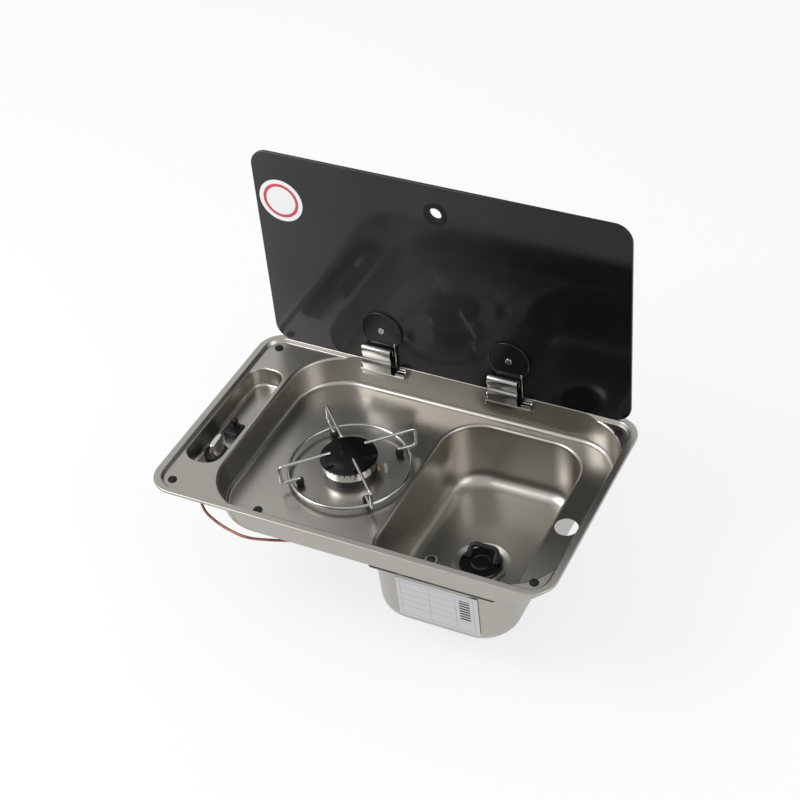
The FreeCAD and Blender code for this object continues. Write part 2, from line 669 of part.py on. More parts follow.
def deck_body(grow):
    """The deck's hollow with grow 0, or its outside with grow as the sheet's thickness."""
    recess = (-STEP_X, STEP_X, -STEP_Y, STEP_Y)
    shelf = (-STEP_X + RECESS_SLANT, STEP_X - RECESS_SLANT, -STEP_Y + RECESS_SLANT, STEP_Y - RECESS_SLANT)
    shelf_corner = RECESS_CORNER - RECESS_SLANT
    in_rim = slab(recess, RECESS_CORNER, RECESS_Z, RIM_HEIGHT, FLANGE_WIDTH / 2)
    step = tub(recess, RECESS_CORNER, RIM_HEIGHT, RECESS_Z, RECESS_SLANT, STEP_FOOT_ROUND, grow)
    step_edge = mouth(recess, RECESS_CORNER, RIM_HEIGHT, step, STEP_TOP_ROUND, in_rim, grow)
    under_shelf = slab(shelf, shelf_corner, PAN_UNDER_Z, RECESS_Z, grow)
    pan_box = (PAN_LEFT_X, PAN_RIGHT_X, -PAN_Y, PAN_Y)
    pan = tub(pan_box, PAN_CORNER, RIM_HEIGHT, PAN_FLOOR_Z, PAN_DRAFT, PAN_FLOOR_ROUND, grow)
    at_shelf = PAN_SLOPE * RECESS_DROP
    pan_mouth_box = (PAN_LEFT_X + at_shelf, PAN_RIGHT_X - at_shelf, -PAN_Y + at_shelf, PAN_Y - at_shelf)
    pan_edge = mouth(pan_mouth_box, PAN_CORNER - at_shelf, RECESS_Z, pan, PAN_MOUTH_ROUND, under_shelf, grow)
    floor_box = (pan_box[0] + PAN_DRAFT, pan_box[1] - PAN_DRAFT, pan_box[2] + PAN_DRAFT,
                 pan_box[3] - PAN_DRAFT)
    in_pan = slab(floor_box, PAN_CORNER - PAN_DRAFT, BOWL_FLOOR_Z - 2 * SHEET, PAN_FLOOR_Z, grow)
    bowl_box = (BOWL_LEFT_X, BOWL_RIGHT_X, BOWL_FRONT_Y, BOWL_REAR_Y)
    bowl = tub(bowl_box, BOWL_CORNER, PAN_FLOOR_Z, BOWL_FLOOR_Z, BOWL_DRAFT, BOWL_FLOOR_ROUND, grow)
    bowl_edge = mouth(bowl_box, BOWL_CORNER, PAN_FLOOR_Z, bowl, BOWL_MOUTH_ROUND, in_pan, grow)
    bowl_front = slab(bowl_box, BOWL_CORNER, PAN_FLOOR_Z, PAN_FLOOR_Z + PAN_FLOOR_ROUND, grow)
    well_box = (WELL_LEFT_X, WELL_RIGHT_X, WELL_FRONT_Y, WELL_REAR_Y)
    well = tub(well_box, WELL_CORNER, RECESS_Z, WELL_FLOOR_Z, WELL_DRAFT, WELL_FLOOR_ROUND, grow)
    well_edge = mouth(well_box, WELL_CORNER, RECESS_Z, well, WELL_MOUTH_ROUND, under_shelf, grow)
    dish_low = DISH_FLOOR_Z - grow
    dish = turned([(0, BOWL_FLOOR_Z), (DISH_R + grow, BOWL_FLOOR_Z), (DISH_FLOOR_R + grow, dish_low),
                   (0, dish_low)], DRAIN_X, DRAIN_Y)
    body = step
    for piece in (step_edge, pan, pan_edge, bowl_edge, bowl_front, well_edge, dish):
        body = body.fuse(piece)
    return body


def deck_pressing():
    """Rim, step, shelves, pan, bowl and control well as one sheet, with its holes."""
    rim = (-RIM_LENGTH / 2, RIM_LENGTH / 2, -RIM_DEPTH / 2, RIM_DEPTH / 2)
    plate = slab(rim, RIM_CORNER, 0, RIM_HEIGHT)
    plate = plate.makeFillet(RIM_EDGE_ROUND, [e for e in plate.Edges if e.BoundBox.ZMin > RIM_HEIGHT / 2])
    plate = plate.cut(slab(rim, RIM_CORNER, -SHEET, RIM_HEIGHT - SHEET, -SHEET))
    deck = plate.fuse(deck_body(SHEET)).cut(deck_body(0))
    for sx in (-1, 1):
        x = sx * BUFFER_FRONT_X
        lug = rod(LUG_R, V(x, BUFFER_FRONT_Y, SHELF_UNDER_Z), UP, SHEET)
        lug = lug.fuse(block(x - LUG_R, x + LUG_R, -PAN_Y, BUFFER_FRONT_Y, SHELF_UNDER_Z, RECESS_Z))
        deck = deck.fuse(lug)
    deep = 4 * OVERRUN
    holes = [rod(TAP_HOLE_R, V(TAP_X, TAP_Y, PAN_UNDER_Z - OVERRUN), UP, deep),
             rod(BURNER_HOLE_R, V(BURNER_X, BURNER_Y, PAN_UNDER_Z - OVERRUN), UP, deep),
             rod(THERMO_R + PROBE_CLEARANCE, V(THERMO_X, THERMO_Y, PAN_UNDER_Z - OVERRUN), UP, deep),
             rod(CERAMIC_R + PROBE_CLEARANCE, V(ELECTRODE_X, ELECTRODE_Y, PAN_UNDER_Z - OVERRUN), UP, deep),
             rod(VALVE_NECK_R + VALVE_HOLE_GAP, V(KNOB_X, KNOB_Y, WELL_UNDER_Z - OVERRUN), UP, deep),
             rod(IGNITER_R + VALVE_HOLE_GAP, V(IGNITER_X, IGNITER_Y, WELL_UNDER_Z - OVERRUN), UP, deep),
             rod(DRAIN_HOLE_R, V(DRAIN_X, DRAIN_Y, DISH_UNDER_Z - OVERRUN), UP, deep)]
    holes += [rod(BURNER_SCREW_R + BURNER_SCREW_CLEARANCE, V(x, y, PAN_UNDER_Z - OVERRUN), UP, deep)
              for x, y in burner_screw_places()]
    holes += [rod(BUFFER_STEM_R, V(x, y, SHELF_UNDER_Z - SHEET), UP, 3 * SHEET) for x, y in buffer_places()]
    holes += [rod(BASE_SCREW_R + BASE_SCREW_CLEARANCE, p + wall_normal() * OVERRUN, wall_normal() * -1, deep)
              for p in hinge_screw_places()]
    for hole in holes:
        deck = deck.cut(hole)
    return deck.removeSplitter()


def rim_seal():
    """Foam strip under the flange, between the turned-down lip and the step."""
    grow = -SHEET - SEAL_LIP_GAP
    rim = (-RIM_LENGTH / 2, RIM_LENGTH / 2, -RIM_DEPTH / 2, RIM_DEPTH / 2)
    top = RIM_HEIGHT - SHEET
    return slab(rim, RIM_CORNER, 0, top, grow).cut(slab(rim, RIM_CORNER, 0, top, grow - SEAL_WIDTH))


def lid_buffers():
    """Six domed rubber buttons pushed into the sheet, each held by a barb below it."""
    top = RECESS_Z + BUFFER_HEIGHT
    neck = SHELF_UNDER_Z
    profile = [(0, top)] + [(BUFFER_R * out, top - BUFFER_EDGE * down) for out, down in BUFFER_DOME_SHARES]
    low = neck - BUFFER_BARB_HEIGHT
    profile += [(BUFFER_R, RECESS_Z), (BUFFER_STEM_R, RECESS_Z), (BUFFER_STEM_R, neck),
                (BUFFER_BARB_R, neck), (BUFFER_STEM_R * BUFFER_BARB_SHARE, low), (0, low)]
    return Part.makeCompound([turned(profile, x, y) for x, y in buffer_places()])


def lid_glass():
    """Glass plate with rounded corners, a finger hole and two hinge holes."""
    half = LID_LENGTH / 2
    flat = slab((-half, half, 0, LID_DEPTH), LID_CORNER, 0, LID_THICK)
    flat = flat.makeChamfer(LID_EDGE_BREAK, [e for e in flat.Edges if e.BoundBox.ZLength < LID_EDGE_BREAK])
    flat = flat.cut(rod(GROMMET_BORE_R + GROMMET_WALL, V(0, FINGER_HOLE_HEIGHT, 0), UP, LID_THICK))
    screw_hole_r = CLAMP_SHANK_R + CLAMP_GLASS_CLEARANCE
    for x in HINGE_XS:
        flat = flat.cut(rod(screw_hole_r, V(x, HINGE_SCREW_HEIGHT, 0), UP, LID_THICK))
    turn = FreeCAD.Rotation(RIGHT, 90)
    flat.Placement = FreeCAD.Placement(V(0, LID_BACK_Y, LID_FOOT_Z), turn)
    return flat


def finger_hole_grommet():
    """Rubber ring clipped round the edge of the finger hole."""
    outer, bore, wall = GROMMET_R, GROMMET_BORE_R, GROMMET_BORE_R + GROMMET_WALL
    low, high = -GROMMET_LIP, LID_THICK + GROMMET_LIP
    profile = [(bore, low + GROMMET_LIP / 2), (bore + GROMMET_LIP / 2, low), (outer - GROMMET_LIP / 2, low),
               (outer, 0), (wall, 0), (wall, LID_THICK), (outer, LID_THICK), (outer - GROMMET_LIP / 2, high),
               (bore + GROMMET_LIP / 2, high), (bore, high - GROMMET_LIP / 2)]
    return aimed(turned(profile, 0, 0), V(0, LID_FACE_Y, LID_FOOT_Z + FINGER_HOLE_HEIGHT), REAR)


def lid_sticker():
    """Thin round label on the glass."""
    place = V(STICKER_X, LID_FACE_Y - STICKER_THICK, LID_FOOT_Z + STICKER_HEIGHT)
    return rod(STICKER_R, place, REAR, STICKER_THICK)


def hinge_base(x):
    """Channel on the rear wall: back plate, curved front tongue and a cheek at each end for the pin."""
    x0, x1 = x - BASE_LEFT, x + BASE_RIGHT
    low = HINGE_Z - TONGUE_R
    far = PAN_Y + OVERRUN
    length = x1 - x0
    axis = V(x0, HINGE_Y, HINGE_Z)
    inner_r = TONGUE_R - BASE_PLATE
    channel = rod(TONGUE_R, axis, RIGHT, length).fuse(block(x0, x1, HINGE_Y, far, low, HINGE_Z))
    channel = channel.cut(rod(inner_r, axis, RIGHT, length))
    channel = channel.cut(block(x0, x1, HINGE_Y, far, HINGE_Z - inner_r, HINGE_Z + 2 * TONGUE_R))
    channel = channel.cut(block(x0, x1, HINGE_Y - 2 * TONGUE_R, far, HINGE_Z + TONGUE_EAR_RISE,
                                HINGE_Z + 2 * TONGUE_R))
    free0, free1 = x - LEAF_LEFT - HINGE_SIDE_GAP, x + ARM_WIDTH / 2 + HINGE_SIDE_GAP
    channel = channel.cut(block(free0, free1, HINGE_Y - 2 * TONGUE_R, HINGE_Y, HINGE_Z - TONGUE_DROP,
                                HINGE_Z + 2 * TONGUE_R))
    plate_low = -BASE_FOOT
    front = [(wall_y(plate_low) - BASE_PLATE, plate_low), (wall_y(BASE_TOP) - BASE_PLATE, BASE_TOP)]
    back = [(wall_y(BASE_TOP), BASE_TOP), (wall_y(plate_low), plate_low)]
    points = [V(x0, y, z) for y, z in front + back]
    plate = Part.Face(Part.makePolygon(points + points[:1])).extrude(V(length, 0, 0))
    base = channel.fuse(plate)
    for cheek_x in (x0, x1 - CHEEK_THICK):
        place = V(cheek_x, HINGE_Y, HINGE_Z)
        lower = rod(TONGUE_R, place, RIGHT, CHEEK_THICK)
        lower = lower.fuse(block(cheek_x, cheek_x + CHEEK_THICK, HINGE_Y, far, low, BASE_TOP))
        lower = lower.cut(block(cheek_x, cheek_x + CHEEK_THICK, HINGE_Y - 2 * TONGUE_R, far,
                                HINGE_Z + TONGUE_EAR_RISE, HINGE_Z + 2 * TONGUE_R))
        base = base.fuse(lower).fuse(rod(CHEEK_TOP_R, place, RIGHT, CHEEK_THICK))
    behind = [V(x0, wall_y(z), z) for z in (low - 2 * TONGUE_R, BASE_TOP + 2 * TONGUE_R)]
    behind += [V(x0, far + TONGUE_R, p.z) for p in reversed(behind)]
    base = base.cut(Part.Face(Part.makePolygon(behind + behind[:1])).extrude(V(length, 0, 0)))
    notch = ARM_WIDTH / 2 + HINGE_SIDE_GAP
    base = base.cut(block(x - notch, x + notch, HINGE_Y, far, HINGE_Z - HINGE_NOTCH_DROP, BASE_TOP + SHEET))
    base = base.cut(rod(HINGE_PIN_R, axis, RIGHT, length))
    for place in hinge_screw_places():
        base = base.cut(rod(BASE_SCREW_R + BASE_SCREW_CLEARANCE, place, wall_normal(), 2 * BASE_PLATE))
    return base.removeSplitter()


def hinge_pins():
    """Plain pins through the cheeks of both bases."""
    length = BASE_LEFT + BASE_RIGHT
    return Part.makeCompound([rod(HINGE_PIN_R, V(x - BASE_LEFT, HINGE_Y, HINGE_Z), RIGHT, length)
                              for x in HINGE_XS])


def hinge_arm(x):
    """Keyhole-shaped arm on the glass, with the knuckle that turns on the pin."""
    half = ARM_WIDTH / 2
    arm = rod(ARM_DISC_R, V(x, ARM_FACE_Y, CLAMP_Z), REAR, ARM_THICK)
    arm = arm.fuse(block(x - half, x + half, ARM_FACE_Y, ARM_BACK_Y, LID_FOOT_Z, CLAMP_Z))
    neck_back = HINGE_Y + KNUCKLE_R
    neck = block(x - half, x + half, HINGE_Y - KNUCKLE_FRONT, neck_back, HINGE_Z, HINGE_Z + NECK_HEIGHT)
    knuckle = rod(KNUCKLE_R, V(x - half, HINGE_Y, HINGE_Z), RIGHT, ARM_WIDTH)
    bore = rod(HINGE_PIN_R + HINGE_PIN_CLEARANCE, V(x - half, HINGE_Y, HINGE_Z), RIGHT, ARM_WIDTH)
    arm = arm.fuse(neck).fuse(knuckle).cut(bore)
    return arm.cut(rod(CLAMP_SHANK_R, V(x, ARM_FACE_Y, CLAMP_Z), REAR, ARM_THICK)).removeSplitter()


def leaf_corners():
    """Corners (y, z, bend) of the leaf's centre line: up the arm, over the shoulder, into the groove, down."""
    flange_y = ARM_FACE_Y - LEAF_THICK / 2
    shoulder_y = ARM_FACE_Y - LEAF_REACH * LEAF_SHOULDER_SHARE
    groove_y = ARM_FACE_Y - LEAF_REACH * LEAF_GROOVE_SHARE
    front_y = ARM_FACE_Y - LEAF_REACH
    ease_z = LEAF_TOP - (LEAF_TOP - LEAF_GROOVE_HEIGHT) * LEAF_EASE_SHARE
    front_z = LEAF_GROOVE_HEIGHT - (LEAF_GROOVE_HEIGHT - LEAF_FOOT) * LEAF_FRONT_SHARE
    return [(flange_y, LEAF_TOP - LEAF_FLANGE, 0), (flange_y, LEAF_TOP, LEAF_SHOULDER_BEND),
            (shoulder_y, LEAF_TOP, LEAF_SHOULDER_BEND), (shoulder_y, ease_z, LEAF_EASE_BEND),
            (groove_y, LEAF_GROOVE_HEIGHT, LEAF_GROOVE_BEND), (front_y, front_z, LEAF_EASE_BEND),
            (front_y, LEAF_FOOT, 0)]


def strip_side(corners, x, off):
    """Straight runs and arcs beside a bent strip's centre line, off from it, with their first and last point."""
    places = [V(x, y, z) for y, z, bend in corners]
    heads = [(after - before).normalize() for before, after in zip(places, places[1:])]
    sides = [RIGHT.cross(head) for head in heads]
    first = places[0] + sides[0] * off
    start = first
    edges = []
    for k, (y, z, bend) in enumerate(corners[1:-1]):
        half = sides[k].getAngle(sides[k + 1]) / 2
        middle = (sides[k] + sides[k + 1]).normalize()
        inward = math.copysign(bend / math.cos(half) - bend, sides[k].dot(heads[k + 1]))
        bend_start = places[k + 1] - heads[k] * (bend * math.tan(half)) + sides[k] * off
        bend_end = places[k + 1] + heads[k + 1] * (bend * math.tan(half)) + sides[k + 1] * off
        edges.append(Part.makeLine(start, bend_start))
        edges.append(Part.Arc(bend_start, places[k + 1] + middle * (inward + off), bend_end).toShape())
        start = bend_end
    last = places[-1] + sides[-1] * off
    return edges + [Part.makeLine(start, last)], first, last


def hinge_leaf(x):
    """Bright S-shaped leaf of even thickness: a flat flange on the arm, then bends down the front."""
    back, back_first, back_last = strip_side(leaf_corners(), x - LEAF_LEFT, -LEAF_THICK / 2)
    front, front_first, front_last = strip_side(leaf_corners(), x - LEAF_LEFT, LEAF_THICK / 2)
    wire = Part.Wire(back + [Part.makeLine(back_last, front_last)] + front[::-1]
                     + [Part.makeLine(front_first, back_first)])
    return Part.Face(wire).extrude(V(LEAF_LEFT + LEAF_RIGHT, 0, 0))


def hinge_clamp_pads():
    """Thin pads between the arms' discs and the glass."""
    return Part.makeCompound([tube(PAD_R, CLAMP_SHANK_R, V(x, ARM_BACK_Y, CLAMP_Z), REAR, PAD_THICK)
                              for x in HINGE_XS])


def hinge_backing_discs():
    """Discs behind the glass that the clamp nuts pull on."""
    return Part.makeCompound([tube(BACKING_R, CLAMP_SHANK_R, V(x, LID_BACK_Y, CLAMP_Z), REAR, BACKING_THICK)
                              for x in HINGE_XS])


def hinge_clamp_screws():
    """Slotted screws through arm, pad, glass and backing disc."""
    screws = []
    length = ARM_THICK + PAD_THICK + LID_THICK + BACKING_THICK + CLAMP_NUT_HEIGHT
    for x in HINGE_XS:
        head_y = ARM_FACE_Y - CLAMP_HEAD_HEIGHT
        head = rod(CLAMP_HEAD_R, V(x, head_y, CLAMP_Z), REAR, CLAMP_HEAD_HEIGHT)
        front_edge = [e for e in head.Edges if e.BoundBox.YMax < head_y + CLAMP_SLOT_DEPTH]
        head = head.makeFillet(CLAMP_HEAD_HEIGHT / 2, front_edge)
        half = CLAMP_SLOT_WIDTH / 2
        slot = block(x - half, x + half, head_y, head_y + CLAMP_SLOT_DEPTH,
                     CLAMP_Z - CLAMP_HEAD_R, CLAMP_Z + CLAMP_HEAD_R)
        shank = rod(CLAMP_SHANK_R, V(x, ARM_FACE_Y, CLAMP_Z), REAR, length)
        screws.append(head.cut(slot).fuse(shank).removeSplitter())
    return Part.makeCompound(screws)


def hinge_clamp_nuts():
    """Nuts on the clamp screws, behind the backing discs."""
    places = [V(x, LID_BACK_Y + BACKING_THICK, CLAMP_Z) for x in HINGE_XS]
    return Part.makeCompound([hexagon(CLAMP_NUT_FLATS, CLAMP_NUT_HEIGHT, p, REAR, CLAMP_SHANK_R)
                              for p in places])


def hinge_base_screws():
    """Screws that hold the hinge bases to the rear wall."""
    n = wall_normal()
    flat = wall_thickness(HINGE_Z - BASE_SCREW_DROP)
    plate = BASE_PLATE * -n.y
    screws = []
    for place in hinge_screw_places():
        seat = place + n * plate
        head = rod(BASE_SCREW_HEAD_R, seat, n, BASE_SCREW_HEAD)
        shank = rod(BASE_SCREW_R, seat, n * -1, plate + flat + BASE_NUT_HEIGHT)
        screws.append(head.fuse(shank).removeSplitter())
    return Part.makeCompound(screws)


def hinge_base_nuts():
    """Nuts of those screws, outside the rear wall."""
    n = wall_normal()
    flat = wall_thickness(HINGE_Z - BASE_SCREW_DROP)
    return Part.makeCompound([hexagon(BASE_NUT_FLATS, BASE_NUT_HEIGHT, p - n * flat, n * -1, BASE_SCREW_R)
                              for p in hinge_screw_places()])


def burner_base_ring():
    """Black lower ring on the pan floor, with the web that the burner screws hold."""
    r, top, floor = BASE_RING_R, BASE_RING_TOP, PAN_FLOOR_Z
    web = floor + BASE_RING_WEB
    ring = turned([(BASE_RING_BORE_R, floor), (r, floor), (r, top), (r - BASE_RING_WALL, top),
                   (r - BASE_RING_WALL, web), (BASE_RING_BORE_R, web)], BURNER_X, BURNER_Y)
    for x, y in burner_screw_places():
        ring = ring.cut(rod(BURNER_SCREW_R + BURNER_SCREW_CLEARANCE, V(x, y, floor), UP, BASE_RING_WEB))
    return ring


def flame_ring():
    """Bright ring that carries the cap, with flame ports under the cap's edge."""
    r, low, top = FLAME_RING_R, BASE_RING_TOP, CAP_SEAT_Z
    inner = r - FLAME_RING_WALL
    ring = turned([(inner, low), (r - FLAME_RING_ROUND, low), (r, low + FLAME_RING_ROUND), (r, top),
                   (inner, top)], BURNER_X, BURNER_Y)
    port = block(inner - OVERRUN, r + OVERRUN, -FLAME_PORT_WIDTH / 2, FLAME_PORT_WIDTH / 2,
                 top - FLAME_PORT_HEIGHT, top)
    ports = []
    for k in range(FLAME_PORTS):
        one = port.copy()
        turn = FreeCAD.Rotation(UP, 360 * k / FLAME_PORTS)
        one.Placement = FreeCAD.Placement(V(BURNER_X, BURNER_Y, 0), turn)
        ports.append(one)
    return ring.cut(Part.makeCompound(ports))


def burner_cap():
    """Domed enamel cap with a locating skirt inside the flame ring."""
    seat = CAP_SEAT_Z
    skirt = FLAME_RING_R - FLAME_RING_WALL - CAP_SKIRT_GAP
    crown = seat + CAP_CROWN
    rise = CAP_CROWN - CAP_EDGE
    profile = [(0, crown)] + [(CAP_R * out, crown - rise * down) for out, down in CAP_DOME_SHARES]
    profile += [(CAP_R * out, seat + CAP_EDGE * up) for out, up in CAP_EDGE_SHARES]
    profile += [(CAP_R, seat), (skirt, seat), (skirt, seat - CAP_SKIRT_DEPTH),
                (skirt - CAP_SKIRT_WALL, seat - CAP_SKIRT_DEPTH), (skirt - CAP_SKIRT_WALL, seat), (0, seat)]
    return turned(profile, BURNER_X, BURNER_Y)


def burner_body():
    """Cup under the pan floor with its mixing tube, and the strip that carries the injector holder."""
    top = PAN_UNDER_Z
    low = top - CUP_DEPTH
    cup = turned([(0, low), (CUP_BODY_R, low), (CUP_BODY_R, top - CUP_FLANGE), (CUP_R, top - CUP_FLANGE),
                  (CUP_R, top), (0, top)], BURNER_X, BURNER_Y)
    start = V(BURNER_X, BURNER_Y, MIXER_Z)
    cup = cup.fuse(rod(MIXER_R, start, REAR * -1, MIXER_REACH))
    hollow = rod(BASE_RING_BORE_R, V(BURNER_X, BURNER_Y, low + CUP_WALL), UP, CUP_DEPTH)
    cup = cup.cut(hollow).cut(rod(MIXER_R - MIXER_WALL, start, REAR * -1, MIXER_REACH))
    half = BRACKET_WIDTH / 2
    strip_top = MIXER_Z - MIXER_R
    strip = block(BURNER_X - half, BURNER_X + half, HOLDER_REAR_Y, MIXER_END_Y + BRACKET_OVERLAP,
                  strip_top - BRACKET_THICK, strip_top + MIXER_WALL / 2)
    strip = strip.cut(rod(MIXER_R - MIXER_WALL / 2, start, REAR * -1, MIXER_REACH))
    strip = strip.cut(block(BURNER_X - half, BURNER_X + half, HOLDER_REAR_Y, MIXER_END_Y, strip_top,
                            strip_top + MIXER_WALL))
    cup = cup.fuse(strip)
    for x, y in burner_screw_places():
        cup = cup.cut(rod(BURNER_SCREW_R, V(x, y, top - CUP_FLANGE), UP, CUP_FLANGE))
    return cup.removeSplitter()


def burner_screws():
    """Screws through ring and pan floor into the burner cup's flange."""
    seat = PAN_FLOOR_Z + BASE_RING_WEB
    screws = []
    for x, y in burner_screw_places():
        head = rod(BURNER_SCREW_HEAD_R, V(x, y, seat), UP, BURNER_SCREW_HEAD)
        shank = rod(BURNER_SCREW_R, V(x, y, seat), UP * -1, BURNER_SCREW_LENGTH)
        screws.append(head.fuse(shank).removeSplitter())
    return Part.makeCompound(screws)


def injector():
    """Brass jet that points into the mixing tube."""
    start = V(BURNER_X, INJECTOR_TIP_Y, MIXER_Z)
    jet = rod(INJECTOR_R, start, REAR * -1, INJECTOR_LENGTH)
    return jet.cut(rod(INJECTOR_BORE_R, start, REAR * -1, INJECTOR_LENGTH))


def injector_holder():
    """Block between the jet and the copper pipe."""
    half = HOLDER_SIDE / 2
    holder = block(BURNER_X - half, BURNER_X + half, HOLDER_REAR_Y, HOLDER_FACE_Y, MIXER_Z - half,
                   MIXER_Z + half)
    return holder.cut(rod(INJECTOR_BORE_R, V(BURNER_X, HOLDER_FACE_Y, MIXER_Z), REAR * -1, HOLDER_LENGTH))


def probe(x, y, r, top):
    """Round probe through the pan floor, with a collar against the floor's underside."""
    body = rod(r, V(x, y, PROBE_FOOT_Z), UP, top - PROBE_FOOT_Z)
    collar = rod(r + PROBE_COLLAR, V(x, y, PAN_UNDER_Z - PROBE_COLLAR_HEIGHT), UP, PROBE_COLLAR_HEIGHT)
    return body.fuse(collar).removeSplitter()


def electrode_pin():
    """Spark wire on top of the ceramic."""
    return rod(SPARK_PIN_R, V(ELECTRODE_X, ELECTRODE_Y, CERAMIC_TOP_Z), UP, SPARK_PIN_LENGTH)


def routed_tube(name, points, r):
    """Round tube along straight runs joined by tangent arcs, each as large as its two runs allow."""
    points = [V(*p) for p in points]
    edges = []
    radii = []
    here = points[0]
    for before, corner, after in zip(points, points[1:], points[2:]):
        into = (corner - before).normalize()
        out = (after - corner).normalize()
        turn = into.getAngle(out)
        shorter = min((corner - before).Length, (after - corner).Length)
        setback = BEND_SHARE * shorter
        radius = setback / math.tan(turn / 2)
        start = corner - into * setback
        end = corner + out * setback
        middle_way = (out - into).normalize()
        middle = corner + middle_way * (radius / math.cos(turn / 2) - radius)
        edges.append(Part.LineSegment(here, start).toShape())
        edges.append(Part.Arc(start, middle, end).toShape())
        radii.append(round(radius, 1))
        here = end
    edges.append(Part.LineSegment(here, points[-1]).toShape())
    path = Part.Wire(edges)
    ring = Part.Wire(Part.makeCircle(r, points[0], points[1] - points[0]))
    solid = path.makePipeShell([ring], True, False)
    print(name, "arc radii", radii, "volume over section times length",
          round(solid.Volume / (math.pi * r * r * path.Length), 5))
    return solid


def pan_support_ring():
    """Wire ring under the fingers."""
    z = PAN_FLOOR_Z + SUPPORT_RING_RISE
    return Part.makeTorus(SUPPORT_RING_R, WIRE_R, V(BURNER_X, BURNER_Y, z))


def finger_turn(k):
    """Direction of a finger, seen from above."""
    return FreeCAD.Rotation(UP, FIRST_FINGER_TURN + 360 * k / FINGER_COUNT)


def pan_support_finger(k):
    """Wire bent over the burner: along the top, down outside the ring, and back over it to the foot."""
    top, low, bend = FINGER_TOP_Z, FINGER_FOOT_Z, FINGER_BEND
    out = FINGER_OUTER_R
    diagonal = bend * (1 - math.sqrt(0.5))
    points = [V(FINGER_TIP_R, 0, top), V(out - bend, 0, top), V(out - diagonal, 0, top - diagonal),
              V(out, 0, top - bend), V(out, 0, low + bend), V(out - diagonal, 0, low + diagonal),
              V(out - bend, 0, low), V(FOOT_PITCH_R, 0, low)]
    edges = [Part.makeLine(points[0], points[1]), Part.Arc(*points[1:4]).toShape(),
             Part.makeLine(points[3], points[4]), Part.Arc(*points[4:7]).toShape(),
             Part.makeLine(points[6], points[7])]
    ring = Part.Wire(Part.makeCircle(WIRE_R, V(FINGER_TIP_R, 0, top), RIGHT))
    finger = Part.Wire(edges).makePipeShell([ring], True, False)
    finger.Placement = FreeCAD.Placement(V(BURNER_X, BURNER_Y, 0), finger_turn(k))
    return finger


def pan_support_feet():
    """Rubber feet, each on the inner end of a finger."""
    feet = []
    height = FINGER_FOOT_Z + WIRE_R + FOOT_CAP - PAN_FLOOR_Z
    for k in range(FINGER_COUNT):
        foot = rod(FOOT_R, V(FOOT_PITCH_R, 0, PAN_FLOOR_Z), UP, height)
        foot = foot.cut(rod(WIRE_R, V(FOOT_PITCH_R, 0, FINGER_FOOT_Z), RIGHT, 2 * FOOT_R))
        foot.Placement = FreeCAD.Placement(V(BURNER_X, BURNER_Y, 0), finger_turn(k))
        feet.append(foot)
    return Part.makeCompound(feet)


def valve_body():
    """Gas valve under the control well, with a threaded neck through the well's floor."""
    half = VALVE_WIDTH / 2
    bore_low = ROD_FOOT_Z - ROD_BORE_SPARE
    body = block(KNOB_X - half, KNOB_X + half, VALVE_FRONT_Y, VALVE_REAR_Y, VALVE_BOTTOM_Z, WELL_UNDER_Z)
    body = body.fuse(rod(VALVE_NECK_R, V(KNOB_X, KNOB_Y, WELL_UNDER_Z), UP, NECK_TOP_Z - WELL_UNDER_Z))
    for r, low, top in ((SPINDLE_R, SPRING_FOOT_Z, NECK_TOP_Z), (PUSH_ROD_R, bore_low, SPRING_FOOT_Z)):
        body = body.cut(rod(r + SPINDLE_CLEARANCE, V(KNOB_X, KNOB_Y, low), UP, top - low))
    return body


def valve_spring():
    """Return spring round the push rod, as a plain sleeve of its space."""
    return tube(SPINDLE_R, PUSH_ROD_R + SPRING_GAP, V(KNOB_X, KNOB_Y, SPRING_FOOT_Z), UP, SPRING_LENGTH)


def knob_skirt():
    """Dark dish-shaped skirt with the hub that carries the lever."""
    foot, top = SKIRT_FOOT_Z, SKIRT_TOP_Z
    hollow_top = top - SKIRT_TOP
    grip_top = top + SPINDLE_GRIP
    profile = [(SPINDLE_R, hollow_top), (SKIRT_HOLLOW_R, hollow_top), (SKIRT_HOLLOW_R, foot), (SKIRT_R, foot),
               (SKIRT_R, top - SKIRT_EDGE), (SKIRT_R - SKIRT_EDGE, top), (HUB_R, top),
               (HUB_R, HUB_TOP_Z - HUB_EDGE), (HUB_R - HUB_EDGE, HUB_TOP_Z), (0, HUB_TOP_Z), (0, grip_top),
               (SPINDLE_R, grip_top)]
    return turned(profile, KNOB_X, KNOB_Y)


def knob_lever():
    """Silver lever on the hub, with rounded edges and a small hole near its front end."""
    half = LEVER_WIDTH / 2
    box = (KNOB_X - half, KNOB_X + half, KNOB_Y - LEVER_FRONT, KNOB_Y + LEVER_REAR)
    bar = slab(box, half * LEVER_END_SHARE, HUB_TOP_Z, HUB_TOP_Z + LEVER_HEIGHT)
    top = [e for e in bar.Edges if e.BoundBox.ZMin > HUB_TOP_Z + LEVER_HEIGHT / 2]
    bar = bar.makeFillet(LEVER_ROUND, top)
    hole_y = KNOB_Y - LEVER_FRONT + LEVER_HOLE_PLACE
    return bar.cut(rod(LEVER_HOLE_R, V(KNOB_X, hole_y, HUB_TOP_Z), UP, LEVER_HEIGHT))


def valve_spindle():
    """Spindle from the valve into the knob's hub."""
    top = SKIRT_TOP_Z + SPINDLE_GRIP
    return rod(SPINDLE_R, V(KNOB_X, KNOB_Y, SPINDLE_FOOT_Z), UP, top - SPINDLE_FOOT_Z)


